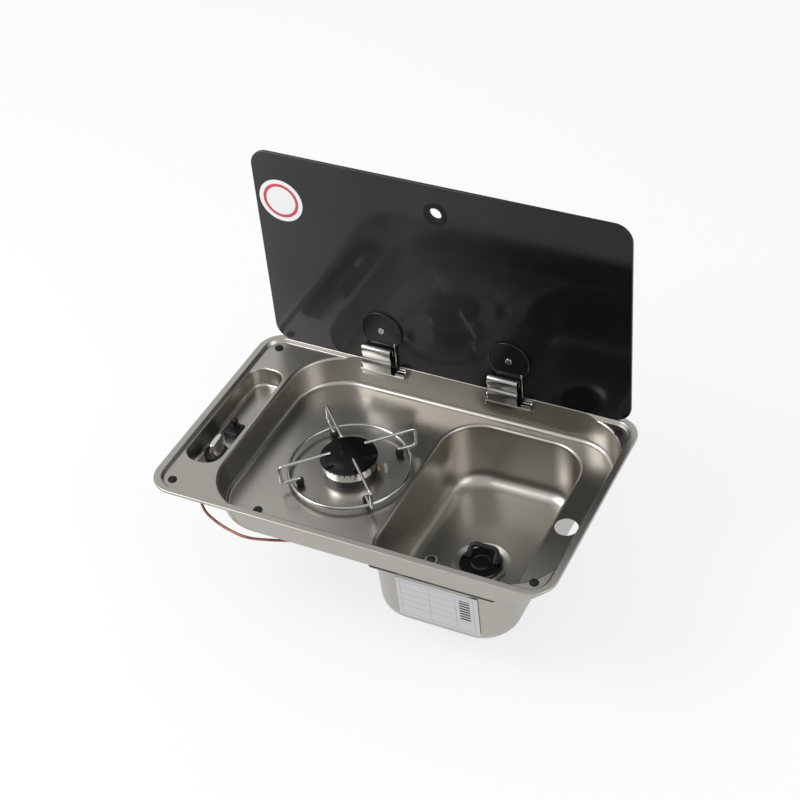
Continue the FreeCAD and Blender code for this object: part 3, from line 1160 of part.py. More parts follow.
def pipe_nuts():
    """Nuts at both ends of the copper pipe, at the inlet pipe and under the magnet unit."""
    nuts = [(PIPE_NUT_FLATS, PIPE_R, V(KNOB_X, VALVE_FRONT_Y, PIPE_Z), REAR * -1),
            (PIPE_NUT_FLATS, PIPE_R, V(BURNER_X, HOLDER_REAR_Y, MIXER_Z), REAR * -1),
            (INLET_NUT_FLATS, INLET_R - INLET_WALL, V(INLET_X, VALVE_REAR_Y, INLET_Z), REAR),
            (PIPE_NUT_FLATS, LEAD_R, V(KNOB_X, KNOB_Y, VALVE_BOTTOM_Z - MAGNET_LENGTH), UP * -1)]
    return Part.makeCompound([hexagon(flats, PIPE_NUT_LENGTH, place, way, bore)
                              for flats, bore, place, way in nuts])


def igniter_collar():
    """Black collar of the igniter on the well's floor, bored for the button's stem."""
    half = COLLAR_SIDE / 2
    y = IGNITER_Y - COLLAR_SHIFT
    box = (IGNITER_X - half, IGNITER_X + half, y - half, y + half)
    collar = slab(box, COLLAR_CORNER, WELL_FLOOR_Z, COLLAR_TOP_Z)
    top = [e for e in collar.Edges if e.BoundBox.ZMin > COLLAR_TOP_Z - SHEET]
    foot = V(IGNITER_X, IGNITER_Y, WELL_FLOOR_Z)
    height = BOSS_TOP_Z - WELL_FLOOR_Z
    collar = collar.makeChamfer(COLLAR_EDGE, top).fuse(rod(BOSS_R, foot, UP, height))
    return collar.cut(rod(BUTTON_STEM_R + BUTTON_CLEARANCE, foot, UP, height)).removeSplitter()


def igniter_body():
    """Igniter barrel through the well's floor, bored for the stem and its spring."""
    barrel = rod(IGNITER_R, V(IGNITER_X, IGNITER_Y, IGNITER_FOOT_Z), UP, WELL_FLOOR_Z - IGNITER_FOOT_Z)
    low = BUTTON_FOOT_Z - BUTTON_SPRING_LENGTH
    bore = BUTTON_STEM_R + BUTTON_CLEARANCE
    return barrel.cut(rod(bore, V(IGNITER_X, IGNITER_Y, low), UP, WELL_FLOOR_Z - low))


def igniter_button():
    """Round push button on its stem."""
    ball_z = BOSS_TOP_Z + BUTTON_NECK + BUTTON_BALL_R
    stem = rod(BUTTON_STEM_R, V(IGNITER_X, IGNITER_Y, BUTTON_FOOT_Z), UP, ball_z - BUTTON_FOOT_Z)
    return stem.fuse(Part.makeSphere(BUTTON_BALL_R, V(IGNITER_X, IGNITER_Y, ball_z))).removeSplitter()


def igniter_spring():
    """Spring under the stem, as a plain sleeve of its space."""
    place = V(IGNITER_X, IGNITER_Y, BUTTON_FOOT_Z - BUTTON_SPRING_LENGTH)
    return tube(BUTTON_STEM_R - SPRING_GAP, PUSH_ROD_R, place, UP, BUTTON_SPRING_LENGTH)


def waste_flange():
    """Steel flange in the bowl's dish, with its lip and throat."""
    seat, plate = DISH_FLOOR_Z, DISH_FLOOR_Z + FLANGE_PLATE
    lip = seat + FLANGE_LIP_HEIGHT
    return turned([(THROAT_R - THROAT_WALL, plate), (THROAT_R - THROAT_WALL, seat - THROAT_DEPTH),
                   (THROAT_R, seat - THROAT_DEPTH), (THROAT_R, seat), (FLANGE_R, seat), (FLANGE_R, lip),
                   (FLANGE_R - FLANGE_LIP, lip), (FLANGE_R - FLANGE_LIP, plate)], DRAIN_X, DRAIN_Y)


def waste_seal():
    """Rubber ring under the bowl."""
    return tube(WASTE_SEAL_R, THROAT_R, V(DRAIN_X, DRAIN_Y, WASTE_SEAL_Z), UP, WASTE_SEAL_THICK)


def waste_backnut():
    """Large nut on the throat, against the seal."""
    return hexagon(BACKNUT_FLATS, BACKNUT_HEIGHT, V(DRAIN_X, DRAIN_Y, BACKNUT_Z), UP, THROAT_R)


def waste_body():
    """Plastic cup under the nut, with the hose tail."""
    top, low = BACKNUT_Z, WASTE_BODY_Z
    cone = low + WASTE_WALL
    tail = low - TAIL_LENGTH
    inner = WASTE_BODY_R - WASTE_WALL
    inner_tail = TAIL_R - TAIL_WALL
    return turned([(WASTE_BODY_R, top), (WASTE_BODY_R, low), (TAIL_R, low), (TAIL_R, tail),
                   (inner_tail, tail), (inner_tail, cone), (inner, cone), (inner, top)], DRAIN_X, DRAIN_Y)


def plug():
    """Sink plug with a spigot, a raised middle and two ears for the bail."""
    foot, top = PLUG_FOOT_Z, PLUG_TOP_Z
    low = foot - PLUG_SPIGOT_DEPTH
    spigot = THROAT_R - THROAT_WALL - PLUG_SPIGOT_GAP
    shoulder = PLUG_BOSS_EDGE_SHARE
    profile = [(0, low), (spigot, low), (spigot, foot), (PLUG_R, foot), (PLUG_R, top - PLUG_EDGE),
               (PLUG_R - PLUG_EDGE, top), (PLUG_BOSS_R, top),
               (shoulder * PLUG_BOSS_R, top + shoulder * PLUG_BOSS_HEIGHT), (0, top + PLUG_BOSS_HEIGHT)]
    body = turned(profile, DRAIN_X, DRAIN_Y)
    for side in (-1, 1):
        x = DRAIN_X + side * PLUG_EAR_SPREAD / 2
        x0 = min(x, x + side * PLUG_EAR_WIDTH)
        place = V(x0, BAIL_Y, BAIL_Z)
        ear = rod(PLUG_EAR_R, place, RIGHT, PLUG_EAR_WIDTH)
        ear = ear.fuse(block(x0, x0 + PLUG_EAR_WIDTH, BAIL_Y - PLUG_EAR_R, BAIL_Y + PLUG_EAR_R,
                             top - PLUG_EDGE, BAIL_Z))
        body = body.fuse(ear).cut(rod(BAIL_PIN_R + BAIL_PIN_CLEARANCE, place, RIGHT, PLUG_EAR_WIDTH))
    return body.removeSplitter()


def plug_bail():
    """Upright bail that folds down on the plug, with its pins in the ears."""
    half = PLUG_EAR_SPREAD / 2 - BAIL_SIDE_GAP
    y0 = BAIL_Y - BAIL_THICK / 2
    turn = FreeCAD.Rotation(RIGHT, 90)
    bail = slab((-half, half, 0, BAIL_HEIGHT), BAIL_CORNER, 0, BAIL_THICK)
    bail = bail.fuse(block(-half, half, 0, BAIL_CORNER, 0, BAIL_THICK))
    inner = half - BAIL_LEG
    gap = (-inner, inner, -BAIL_CORNER, BAIL_HEIGHT - BAIL_BAR)
    opening = slab(gap, BAIL_CORNER - BAIL_LEG, 0, BAIL_THICK)
    bail = bail.cut(opening)
    bail.Placement = FreeCAD.Placement(V(DRAIN_X, y0 + BAIL_THICK, BAIL_Z), turn)
    for side in (-1, 1):
        x0 = DRAIN_X + min(side * half, side * inner)
        bail = bail.fuse(rod(BAIL_FOOT_R, V(x0, BAIL_Y, BAIL_Z), RIGHT, BAIL_LEG))
        pin_x = DRAIN_X + min(side * half, side * (half + BAIL_SIDE_GAP + PLUG_EAR_WIDTH))
        bail = bail.fuse(rod(BAIL_PIN_R, V(pin_x, BAIL_Y, BAIL_Z), RIGHT, BAIL_SIDE_GAP + PLUG_EAR_WIDTH))
    return bail.removeSplitter()


def data_label():
    """Thin plate flat on the sloping front of the bowl."""
    top = PAN_FLOOR_Z - LABEL_TOP_DROP
    bottom = top - LABEL_HEIGHT
    face = BOWL_FRONT_Y - SHEET

    def at(z):
        return face + BOWL_DRAFT * (PAN_FLOOR_Z - z) / (BOWL_DEPTH + SHEET)

    points = [V(LABEL_LEFT_X, at(z) - out, z)
              for z, out in ((top, 0), (bottom, 0), (bottom, LABEL_THICK), (top, LABEL_THICK))]
    return Part.Face(Part.makePolygon(points + points[:1])).extrude(V(LABEL_LENGTH, 0, 0))


def pieces():
    """All sub-parts by node name."""
    made = {
        "deck_pressing": deck_pressing(), "rim_seal": rim_seal(), "lid_buffers": lid_buffers(),
        "lid_glass": lid_glass(), "finger_hole_grommet": finger_hole_grommet(), "lid_sticker": lid_sticker(),
        "hinge_pins": hinge_pins(), "hinge_clamp_pads": hinge_clamp_pads(),
        "hinge_backing_discs": hinge_backing_discs(), "hinge_clamp_screws": hinge_clamp_screws(),
        "hinge_clamp_nuts": hinge_clamp_nuts(), "hinge_base_screws": hinge_base_screws(),
        "hinge_base_nuts": hinge_base_nuts(), "burner_body": burner_body(),
        "burner_base_ring": burner_base_ring(),
        "flame_ring": flame_ring(), "burner_cap": burner_cap(), "burner_screws": burner_screws(),
        "injector": injector(), "injector_holder": injector_holder(),
        "thermocouple": probe(THERMO_X, THERMO_Y, THERMO_R, THERMO_TIP_Z),
        "thermocouple_lead": routed_tube("thermocouple_lead", THERMO_LEAD_ROUTE, LEAD_R),
        "electrode_ceramic": probe(ELECTRODE_X, ELECTRODE_Y, CERAMIC_R, CERAMIC_TOP_Z),
        "electrode_pin": electrode_pin(),
        "ignition_lead": routed_tube("ignition_lead", IGNITION_LEAD_ROUTE, LEAD_R),
        "pan_support_ring": pan_support_ring(), "pan_support_feet": pan_support_feet(),
        "valve_body": valve_body(), "valve_spring": valve_spring(), "valve_spindle": valve_spindle(),
        "valve_magnet_unit": rod(MAGNET_R, V(KNOB_X, KNOB_Y, VALVE_BOTTOM_Z), UP * -1, MAGNET_LENGTH),
        "valve_push_rod": rod(PUSH_ROD_R, V(KNOB_X, KNOB_Y, ROD_FOOT_Z), UP, PUSH_ROD_LENGTH),
        "valve_panel_nut": hexagon(PANEL_NUT_FLATS, PANEL_NUT_HEIGHT, V(KNOB_X, KNOB_Y, WELL_FLOOR_Z), UP,
                                   VALVE_NECK_R),
        "knob_skirt": knob_skirt(), "knob_lever": knob_lever(),
        "gas_inlet_pipe": tube(INLET_R, INLET_R - INLET_WALL,
                               V(INLET_X, VALVE_REAR_Y + PIPE_NUT_LENGTH, INLET_Z), REAR, INLET_LENGTH),
        "burner_gas_pipe": routed_tube("burner_gas_pipe", BURNER_PIPE_ROUTE, PIPE_R),
        "pipe_nuts": pipe_nuts(),
        "igniter_body": igniter_body(), "igniter_collar": igniter_collar(),
        "igniter_button": igniter_button(), "igniter_spring": igniter_spring(),
        "waste_flange": waste_flange(), "waste_seal": waste_seal(), "waste_backnut": waste_backnut(),
        "waste_body": waste_body(), "plug": plug(), "plug_bail": plug_bail(), "data_label": data_label(),
    }
    for name, x in zip(("left", "right"), HINGE_XS):
        made["hinge_base_" + name] = hinge_base(x)
        made["hinge_arm_" + name] = hinge_arm(x)
        made["hinge_leaf_" + name] = hinge_leaf(x)
    for k in range(FINGER_COUNT):
        made["pan_support_finger_" + str(k + 1)] = pan_support_finger(k)
    return made


os.makedirs("parts", exist_ok=True)
for node, shape in pieces().items():
    shape.exportStep("parts/" + node + ".step")
print("hinge axis", round(HINGE_Y, 3), round(HINGE_Z, 3), "lid face", round(LID_FACE_Y, 3))
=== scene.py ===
import json
import math

import bmesh
import bpy
import numpy as np
from mathutils import Matrix, Vector


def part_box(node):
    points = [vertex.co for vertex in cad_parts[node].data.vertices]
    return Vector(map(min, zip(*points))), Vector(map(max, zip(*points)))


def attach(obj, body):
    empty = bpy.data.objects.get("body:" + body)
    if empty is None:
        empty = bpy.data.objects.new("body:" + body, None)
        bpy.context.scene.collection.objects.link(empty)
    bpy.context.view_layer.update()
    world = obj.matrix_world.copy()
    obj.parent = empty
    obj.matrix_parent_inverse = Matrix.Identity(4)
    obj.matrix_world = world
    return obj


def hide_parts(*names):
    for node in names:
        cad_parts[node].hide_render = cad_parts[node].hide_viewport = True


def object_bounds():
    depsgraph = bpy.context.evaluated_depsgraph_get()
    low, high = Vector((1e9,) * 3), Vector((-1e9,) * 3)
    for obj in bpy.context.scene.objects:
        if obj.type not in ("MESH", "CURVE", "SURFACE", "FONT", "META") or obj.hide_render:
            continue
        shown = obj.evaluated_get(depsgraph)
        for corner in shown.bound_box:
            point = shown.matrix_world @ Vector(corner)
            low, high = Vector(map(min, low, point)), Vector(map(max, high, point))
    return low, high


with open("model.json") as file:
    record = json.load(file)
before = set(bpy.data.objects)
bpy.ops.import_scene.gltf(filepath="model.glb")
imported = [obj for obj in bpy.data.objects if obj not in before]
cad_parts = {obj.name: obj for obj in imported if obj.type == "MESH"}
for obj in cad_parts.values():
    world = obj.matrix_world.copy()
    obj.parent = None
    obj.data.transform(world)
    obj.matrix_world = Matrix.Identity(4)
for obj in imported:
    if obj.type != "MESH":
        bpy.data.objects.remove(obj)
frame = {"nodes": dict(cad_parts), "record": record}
CAD_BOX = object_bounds()

# The photograph's frame, in pixels, and the camera that was fitted to it, in metres and degrees
PHOTO_SIDE = 800
FOCAL_PIXELS = 1767.69
CENTRE_PIXEL = (472.28, 443.17)
CAMERA_AZIMUTH = 26.66
CAMERA_ELEVATION = 41.84
CAMERA_ROLL = -3.93
CAMERA_DISTANCE = 2.46294
CAMERA_TARGET = (0.08839, 0.06012, 0.0)
SENSOR = 36.0

# Stage
FLOOR_GAP = 0.002
FLOOR_SIDE = 12.0
FLOOR_WHITE = 0.75
FLOOR_GREY = 0.8
WORLD_FILL = 0.8
WORLD_TINT = (0.95, 0.97, 1.0)

# Lamps: name, place, width and height in metres, watts
LAMPS = (("main_box", (-1.8, -1.0, 1.9), (1.6, 1.6), 46), ("fill_box", (2.2, -0.6, 1.4), (1.2, 1.6), 12))

# Sizes of the pieces worked out here, in metres
KNOB_CENTRE = (-0.259, -0.06)
KNOB_FIN_FOOT = (0.0094, 0.0118, -0.0592)
KNOB_FIN_HEAD = (0.0040, 0.0146, -0.0555)
KNOB_SKIRT_SLOPE = 0.0008
KNOB_SKIRT_EDGE = 0.0013
KNOB_FIN_RISE = 0.0179
KNOB_HOLLOW = 0.012
KNOB_ROOF = 0.0014
GRIP_POWER = 0.75
GRIP_TAPER = 0.8
GRIP_STRAIGHT = 0.9
GRIP_DRAW = 0.25
GRIP_ROUND_START = 0.12
BURNER_CENTRE = (-0.0734, -0.0067)
CAP_CROWN_FALL = 0.0016
CAP_SHEET = 0.0014
CAP_SKIRT_SHARES = (0.81, 0.75)
CAP_CROWN_SHARE = 0.93
CAP_CROWN_POWER = 2.4
CAP_EDGE_SHARE = 0.95
CAP_EDGE_STEP = 0.02
PIPS = ((-0.0189, 0.0180), (-0.0111, 0.0038), (0.0206, -0.0207), (0.0323, 0.0054))
PIP_RADIUS = 0.0018
PIP_RISE = 0.0006
RING_RADIUS = 0.087
RING_Z = -0.038
RING_WIRE = 0.0027
FINGERS = 4
FINGER_FIRST = 45.0
FINGER_WIRE = 0.0025
FINGER_TIP = 0.0268
FINGER_OUT = 0.1005
FINGER_TOP = -0.0047
FINGER_LOW = -0.034
FINGER_BEND = 0.005
FOOT_PLACE = 0.0741
FOOT_RADIUS = 0.0059
FOOT_TOP = -0.0342
FOOT_POWERS = (0.45, 0.7)
HINGE_XS = (-0.1, 0.1)
DISC_RADIUS = 0.031
DISC_HEIGHT = 0.0669
STEM_HALF = 0.02
STEM_TOP = 0.031
ARM_FACE = 0.16885
BEAD_WIRE = 0.001
# Chrome strip that paints the highlight on the hinge stem's right edge: its wire radius and its span of
# heights
HIGHLIGHT_STRIP_WIRE = 0.0013
HIGHLIGHT_STRIP_HEIGHTS = (0.003, 0.0455)
LEAF_SPAN = (-0.031, 0.015)
LEAF_CORNERS = ((0.0006, 0.0240, 0.0), (0.0006, 0.0378, 0.0052), (0.0110, 0.0378, 0.0052),
                (0.0110, 0.0262, 0.0045), (0.0088, 0.0190, 0.0016), (0.0119, 0.0115, 0.0040),
                (0.0119, -0.0024, 0.0))
LEAF_SHEET = 0.0012
PLATE_SPAN = (-0.040, 0.0335)
PLATE_FRONT = ((0.16922, -0.0155), (0.16850, -0.0225))
BAIL_PIN = (0.1285, -0.0154, -0.1439)
BAIL_LEAN = 50.0
BAIL_HALF = 0.0203
BAIL_TOP = 0.0186
BAIL_CORNER = 0.0095
BAIL_THICK = 0.0018
BAIL_LEG_AND_BAR = (0.0042, 0.0039)
EDGE_ROUND = 0.0005
WELD_REACH = 1e-5
SAME_POINT = 1e-6

# Angles in degrees above which an edge of a piece stays sharp
SHARP_TURNED = 40.0
SHARP_SHEET = 50.0
SHARP_MOULDED = 60.0
SHARP_WIRE = 80.0

# Rows of points along the pieces, and steps of points around them
GRIP_ROWS, GRIP_ROUND_ROWS, GRIP_STEPS = 12, 8, 72
SKIRT_ROUND_ROWS, SKIRT_STEPS = 7, 96
CAP_ROWS, CAP_ROLL_ROWS, CAP_STEPS = 44, 9, 160
RING_ROWS, RING_STEPS = 32, 180
FINGER_BEND_ROWS = 9
FOOT_ROWS, FOOT_STEPS = 25, 32
BAIL_BEND_ROWS, BAIL_STEPS = 13, 24
RIM_ROWS = 60
TIP_ROWS = 4
BEAD_STEPS = 12

# Marks of the two labels: metres, and shares (place, start, end) of the data label's width and height
STICKER_RING = (0.0228, 0.0276)
MARK_WIDTH = 0.0006
MARK_SOFT = 0.0002
LABEL_UPRIGHTS = ((0.04, 0.05, 0.95), (0.94, 0.05, 0.95), (0.40, 0.08, 0.95), (0.72, 0.08, 0.95))
LABEL_LEVELS = ((0.06, 0.04, 0.94), (0.93, 0.04, 0.94), (0.76, 0.04, 0.72), (0.60, 0.04, 0.72),
                (0.44, 0.04, 0.72), (0.28, 0.04, 0.94))
LABEL_BAR_BLOCK = ((0.77, 0.90), (0.34, 0.86))
LABEL_BAR_PITCH = 0.0052
LABEL_BAR_DARK = 0.0030


def photo_camera():
    """Camera at the photograph's place: back vector from azimuth and elevation, then rolled about it."""
    az, el, roll = (math.radians(a) for a in (CAMERA_AZIMUTH, CAMERA_ELEVATION, CAMERA_ROLL))
    back = Vector((math.sin(az) * math.cos(el), -math.cos(az) * math.cos(el), math.sin(el)))
    side = Vector((0, 0, 1)).cross(back).normalized()
    up = back.cross(side)
    x = side * math.cos(roll) + up * math.sin(roll)
    y = up * math.cos(roll) - side * math.sin(roll)
    data = bpy.data.cameras.new("photo_camera")
    data.sensor_width = SENSOR
    data.lens = FOCAL_PIXELS / PHOTO_SIDE * SENSOR
    data.shift_x = (PHOTO_SIDE / 2 - CENTRE_PIXEL[0]) / PHOTO_SIDE
    data.shift_y = (CENTRE_PIXEL[1] - PHOTO_SIDE / 2) / PHOTO_SIDE
    data.clip_start, data.clip_end = 0.05, 100.0
    camera = bpy.data.objects.new("photo_camera", data)
    bpy.context.scene.collection.objects.link(camera)
    place = Vector(CAMERA_TARGET) + back * CAMERA_DISTANCE
    camera.matrix_world = Matrix.Translation(place) @ Matrix((x, y, back)).transposed().to_4x4()
    bpy.context.scene.camera = camera


class Finish:
    """A material under construction: its nodes, its shader and the links between them."""

    def __init__(self, name, colour, rough, metal=0.0, **sockets):
        self.material = bpy.data.materials.new(name)
        self.material.use_nodes = True
        self.tree = self.material.node_tree
        self.shader = self.tree.nodes["Principled BSDF"]
        self.place = self.add("ShaderNodeTexCoord").outputs["Object"]
        self.shader.inputs["Base Color"].default_value = (*colour, 1)
        self.shader.inputs["Roughness"].default_value = rough
        self.shader.inputs["Metallic"].default_value = metal
        for socket, value in sockets.items():
            self.shader.inputs[socket.replace("_", " ")].default_value = value

    def add(self, kind, **settings):
        """A new node with its settings."""
        node = self.tree.nodes.new(kind)
        for key, value in settings.items():
            setattr(node, key, value)
        return node

    def link(self, source, target):
        self.tree.links.new(source, target)

    def stretched(self, scale):
        """Object coordinates stretched by a scale for each axis."""
        node = self.add("ShaderNodeMapping")
        node.inputs["Scale"].default_value = scale
        self.link(self.place, node.inputs["Vector"])
        return node.outputs["Vector"]

    def noise(self, scale, detail=3.0, stretch=(1, 1, 1)):
        """Cloudy grey pattern over stretched object coordinates."""
        node = self.add("ShaderNodeTexNoise")
        node.inputs["Scale"].default_value = scale
        node.inputs["Detail"].default_value = detail
        self.link(self.stretched(stretch), node.inputs["Vector"])
        return node.outputs["Fac"]

    def ramp(self, source, low, high, start=0.2, end=0.8):
        """Colours or grey values from low to high, eased, as the source goes from start to end."""
        node = self.add("ShaderNodeValToRGB")
        node.color_ramp.interpolation = "EASE"
        for element, value, at in zip(node.color_ramp.elements, (low, high), (start, end)):
            element.position = at
            element.color = (*value, 1) if isinstance(value, tuple) else (value, value, value, 1)
        self.link(source, node.inputs["Fac"])
        return node.outputs["Color"]

    def sum_of(self, operation, a, b=None):
        """One arithmetic step between two sources or numbers."""
        node = self.add("ShaderNodeMath", operation=operation)
        for socket, value in zip(node.inputs, (a, b)):
            if isinstance(value, (int, float)):
                socket.default_value = value
            elif value is not None:
                self.link(value, socket)
        return node.outputs[0]

    def along(self, axis, start):
        """Distance along an axis from a start."""
        split = self.add("ShaderNodeSeparateXYZ")
        self.link(self.place, split.inputs[0])
        return self.sum_of("SUBTRACT", split.outputs[axis], start)

    def away_from(self, middle, weights):
        """Distance from a point, with each axis weighted."""
        shift = self.add("ShaderNodeVectorMath", operation="SUBTRACT")
        self.link(self.place, shift.inputs[0])
        shift.inputs[1].default_value = middle
        flat = self.add("ShaderNodeVectorMath", operation="MULTIPLY")
        self.link(shift.outputs[0], flat.inputs[0])
        flat.inputs[1].default_value = weights
        size = self.add("ShaderNodeVectorMath", operation="LENGTH")
        self.link(flat.outputs[0], size.inputs[0])
        return size.outputs["Value"]

    def rising(self, source, edge, soft):
        """0 below an edge, 1 above it, softened."""
        node = self.add("ShaderNodeMapRange", interpolation_type="SMOOTHSTEP")
        node.inputs["From Min"].default_value = edge - soft
        node.inputs["From Max"].default_value = edge + soft
        self.link(source, node.inputs["Value"])
        return node.outputs["Result"]

    def between(self, source, low, high, soft):
        """1 where a source lies between two values, softened."""
        return self.sum_of("SUBTRACT", self.rising(source, low, soft), self.rising(source, high, soft))

    def both(self, a, b):
        """1 where two masks are 1."""
        return self.sum_of("MULTIPLY", a, b)

    def either(self, a, b):
        """1 where one of two masks is 1."""
        return self.sum_of("MAXIMUM", a, b)

    def scaled(self, a, share):
        """A source times a number."""
        return self.sum_of("MULTIPLY", a, share)

    def stripes(self, source, pitch, dark):
        """1 on the first part of every pitch along a source."""
        return self.sum_of("LESS_THAN", self.sum_of("MODULO", source, pitch), dark)

    def blend(self, share, low, high):
        """A colour between two, by a share."""
        node = self.add("ShaderNodeMix", data_type="RGBA")
        self.link(share, node.inputs["Factor"])
        node.inputs[6].default_value = (*low, 1)
        node.inputs[7].default_value = (*high, 1)
        return node.outputs[2]

    def colour(self, source):
        self.link(source, self.shader.inputs["Base Color"])
        return self

    def rough(self, source):
        self.link(source, self.shader.inputs["Roughness"])
        return self

    def bump(self, source, height, strength):
        """Fine relief of a height in metres."""
        node = self.add("ShaderNodeBump")
        node.inputs["Distance"].default_value = height
        node.inputs["Strength"].default_value = strength
        self.link(source, node.inputs["Height"])
        self.link(node.outputs["Normal"], self.shader.inputs["Normal"])
        return self


def satin_steel():
    """Pressed stainless sheet: soft cloudy sheen that drifts a little over the sheet."""
    f = Finish("satin_steel", (0.43, 0.412, 0.38), 0.3, 1.0)
    f.colour(f.ramp(f.noise(7.0, 0.0), (0.415, 0.397, 0.365), (0.445, 0.427, 0.395), 0.1, 0.9))
    return f.rough(f.ramp(f.noise(11.0, 0.0), 0.27, 0.32, 0.1, 0.9)).material


def chrome():
    f = Finish("chrome", (0.5, 0.495, 0.485), 0.12, 1.0)
    return f.rough(f.ramp(f.noise(60.0), 0.1, 0.17)).material


def zinc_steel():
    f = Finish("zinc_steel", (0.5, 0.5, 0.48), 0.4, 1.0)
    f.colour(f.ramp(f.noise(120.0), (0.44, 0.44, 0.41), (0.56, 0.56, 0.54)))
    return f.rough(f.ramp(f.noise(90.0), 0.32, 0.48)).material


def smoked_glass():
    """Dark glass plate with a clear surface: near black at its right end, and a painted reflection, a soft
    cloudy grey bloom, at its left.
    """
    f = Finish("smoked_glass", (0.006, 0.006, 0.006), 0.06, 0.0, Specular_IOR_Level=0.28)
    low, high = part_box("lid_glass")
    # Painted reflection: the base colour turns a cloudy grey towards the plate's left end, standing in for
    # light reflected in the glass.
    painted_reflection_place, painted_reflection_soft = (high.x - low.x) * 0.55, 0.24
    painted_reflection_fade = f.rising(f.scaled(f.along(0, high.x), -1), painted_reflection_place, painted_reflection_soft)
    painted_reflection_cloud = f.ramp(f.noise(5.0, 1.0, (1, 1, 0.6)), 0.25, 1.0, 0.3, 0.75)
    f.colour(f.blend(f.both(painted_reflection_fade, painted_reflection_cloud), (0.005, 0.005, 0.005), (0.05, 0.049, 0.047)))
    return f.rough(f.ramp(f.noise(7.0, 3.0, (1, 1, 2.5)), 0.05, 0.12)).material


def rubber_black():
    f = Finish("rubber_black", (0.009, 0.009, 0.009), 0.55, 0.0, Specular_IOR_Level=0.2)
    f.rough(f.ramp(f.noise(300.0), 0.45, 0.65))
    return f.bump(f.noise(1500.0), 0.00004, 0.3).material


def foam_seal():
    f = Finish("foam_seal", (0.05, 0.05, 0.052), 0.9)
    return f.bump(f.noise(2200.0, 4.0), 0.0002, 0.6).material


def sticker():
    """White disc with one plain red ring: the distance from its centre picks the colour."""
    f = Finish("sticker", (0.82, 0.82, 0.81), 0.35)
    low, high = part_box("lid_sticker")
    middle = (low + high) / 2
    away = f.away_from((middle.x, 0, middle.z), (1, 0, 1))
    ring_soft = 0.0003
    ring = f.between(away, *STICKER_RING, ring_soft)
    f.colour(f.blend(ring, (0.80, 0.80, 0.79), (0.52, 0.055, 0.075)))
    return f.rough(f.ramp(f.noise(400.0), 0.3, 0.42)).material


def ruled(f, across, width, along, length, marks):
    """1 on straight marks, each with its place as a share of a width and its ends as shares of a length."""
    drawn = 0.0
    for place, start, end in marks:
        mark = f.both(f.between(across, place * width, place * width + MARK_WIDTH, MARK_SOFT),
                      f.between(along, start * length, end * length, MARK_SOFT))
        drawn = f.either(drawn, mark)
    return drawn


def label():
    """Pale plate with ruled boxes and one block of even bars, and nothing written in them."""
    f = Finish("label", (0.66, 0.68, 0.69), 0.4, 0.25)
    low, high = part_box("data_label")
    x, z = f.along(0, low.x), f.along(2, low.z)
    wide, tall = high.x - low.x, high.z - low.z
    boxes = f.either(ruled(f, x, wide, z, tall, LABEL_UPRIGHTS), ruled(f, z, tall, x, wide, LABEL_LEVELS))
    (left, right), (foot, top) = LABEL_BAR_BLOCK
    block = f.both(f.between(x, left * wide, right * wide, MARK_SOFT),
                   f.between(z, foot * tall, top * tall, MARK_SOFT))
    bars = f.both(block, f.stripes(z, LABEL_BAR_PITCH, LABEL_BAR_DARK))
    box_share = 0.55
    marks = f.either(f.scaled(boxes, box_share), bars)
    f.colour(f.blend(marks, (0.53, 0.53, 0.53), (0.03, 0.03, 0.035)))
    return f.rough(f.ramp(f.noise(300.0), 0.35, 0.48)).material


def black_gloss():
    f = Finish("black_gloss", (0.006, 0.006, 0.006), 0.12, 0.0, Specular_IOR_Level=0.4)
    return f.rough(f.ramp(f.noise(80.0), 0.1, 0.2)).material


def black_plastic():
    f = Finish("black_plastic", (0.009, 0.009, 0.009), 0.38, 0.0, Specular_IOR_Level=0.22)
    f.rough(f.ramp(f.noise(250.0), 0.3, 0.45))
    return f.bump(f.noise(2600.0), 0.00003, 0.25).material


def enamel():
    f = Finish("enamel", (0.004, 0.004, 0.004), 0.1, 0.0, Specular_IOR_Level=0.3)
    return f.rough(f.ramp(f.noise(150.0, 1.0), 0.08, 0.14)).material


def black_steel():
    f = Finish("black_steel", (0.012, 0.012, 0.012), 0.35)
    return f.rough(f.ramp(f.noise(180.0), 0.28, 0.42)).material


def cast_aluminium():
    f = Finish("cast_aluminium", (0.5, 0.5, 0.49), 0.45, 1.0)
    f.rough(f.ramp(f.noise(160.0), 0.38, 0.55))
    return f.bump(f.noise(1200.0, 4.0), 0.0001, 0.5).material


def bright_ring():
    f = Finish("bright_ring", (0.75, 0.74, 0.71), 0.2, 1.0)
    return f.rough(f.ramp(f.noise(900.0, 2.0, (0.05, 0.05, 1)), 0.14, 0.28)).material


def brass():
    f = Finish("brass", (0.68, 0.48, 0.2), 0.3, 1.0)
    f.colour(f.ramp(f.noise(100.0), (0.6, 0.42, 0.17), (0.72, 0.52, 0.24)))
    return f.rough(f.ramp(f.noise(140.0), 0.24, 0.38)).material


def probe_tip():
    """Thermocouple: bright copper at its tip, dark scaled steel below."""
    f = Finish("probe_tip", (0.6, 0.24, 0.12), 0.32, 1.0)
    high = f.along(2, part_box("thermocouple")[1].z)
    tip, soft = -0.006, 0.002
    f.colour(f.blend(f.rising(high, tip, soft), (0.12, 0.1, 0.09), (0.7, 0.36, 0.16)))
    return f.rough(f.ramp(f.noise(120.0), 0.25, 0.42)).material


def copper():
    f = Finish("copper", (0.6, 0.24, 0.12), 0.32, 1.0)
    f.colour(f.ramp(f.noise(70.0, 4.0), (0.2, 0.085, 0.06), (0.32, 0.15, 0.11)))
    return f.rough(f.ramp(f.noise(120.0), 0.25, 0.42)).material


def ceramic():
    f = Finish("ceramic", (0.42, 0.40, 0.36), 0.3)
    return f.rough(f.ramp(f.noise(200.0), 0.15, 0.3)).material


def silver_lever():
    f = Finish("silver_lever", (0.66, 0.65, 0.62), 0.3, 1.0)
    return f.rough(f.ramp(f.noise(260.0), 0.24, 0.36)).material


def lead_sleeve():
    f = Finish("lead_sleeve", (0.03, 0.03, 0.032), 0.6)
    return f.rough(f.ramp(f.noise(300.0), 0.5, 0.7)).material


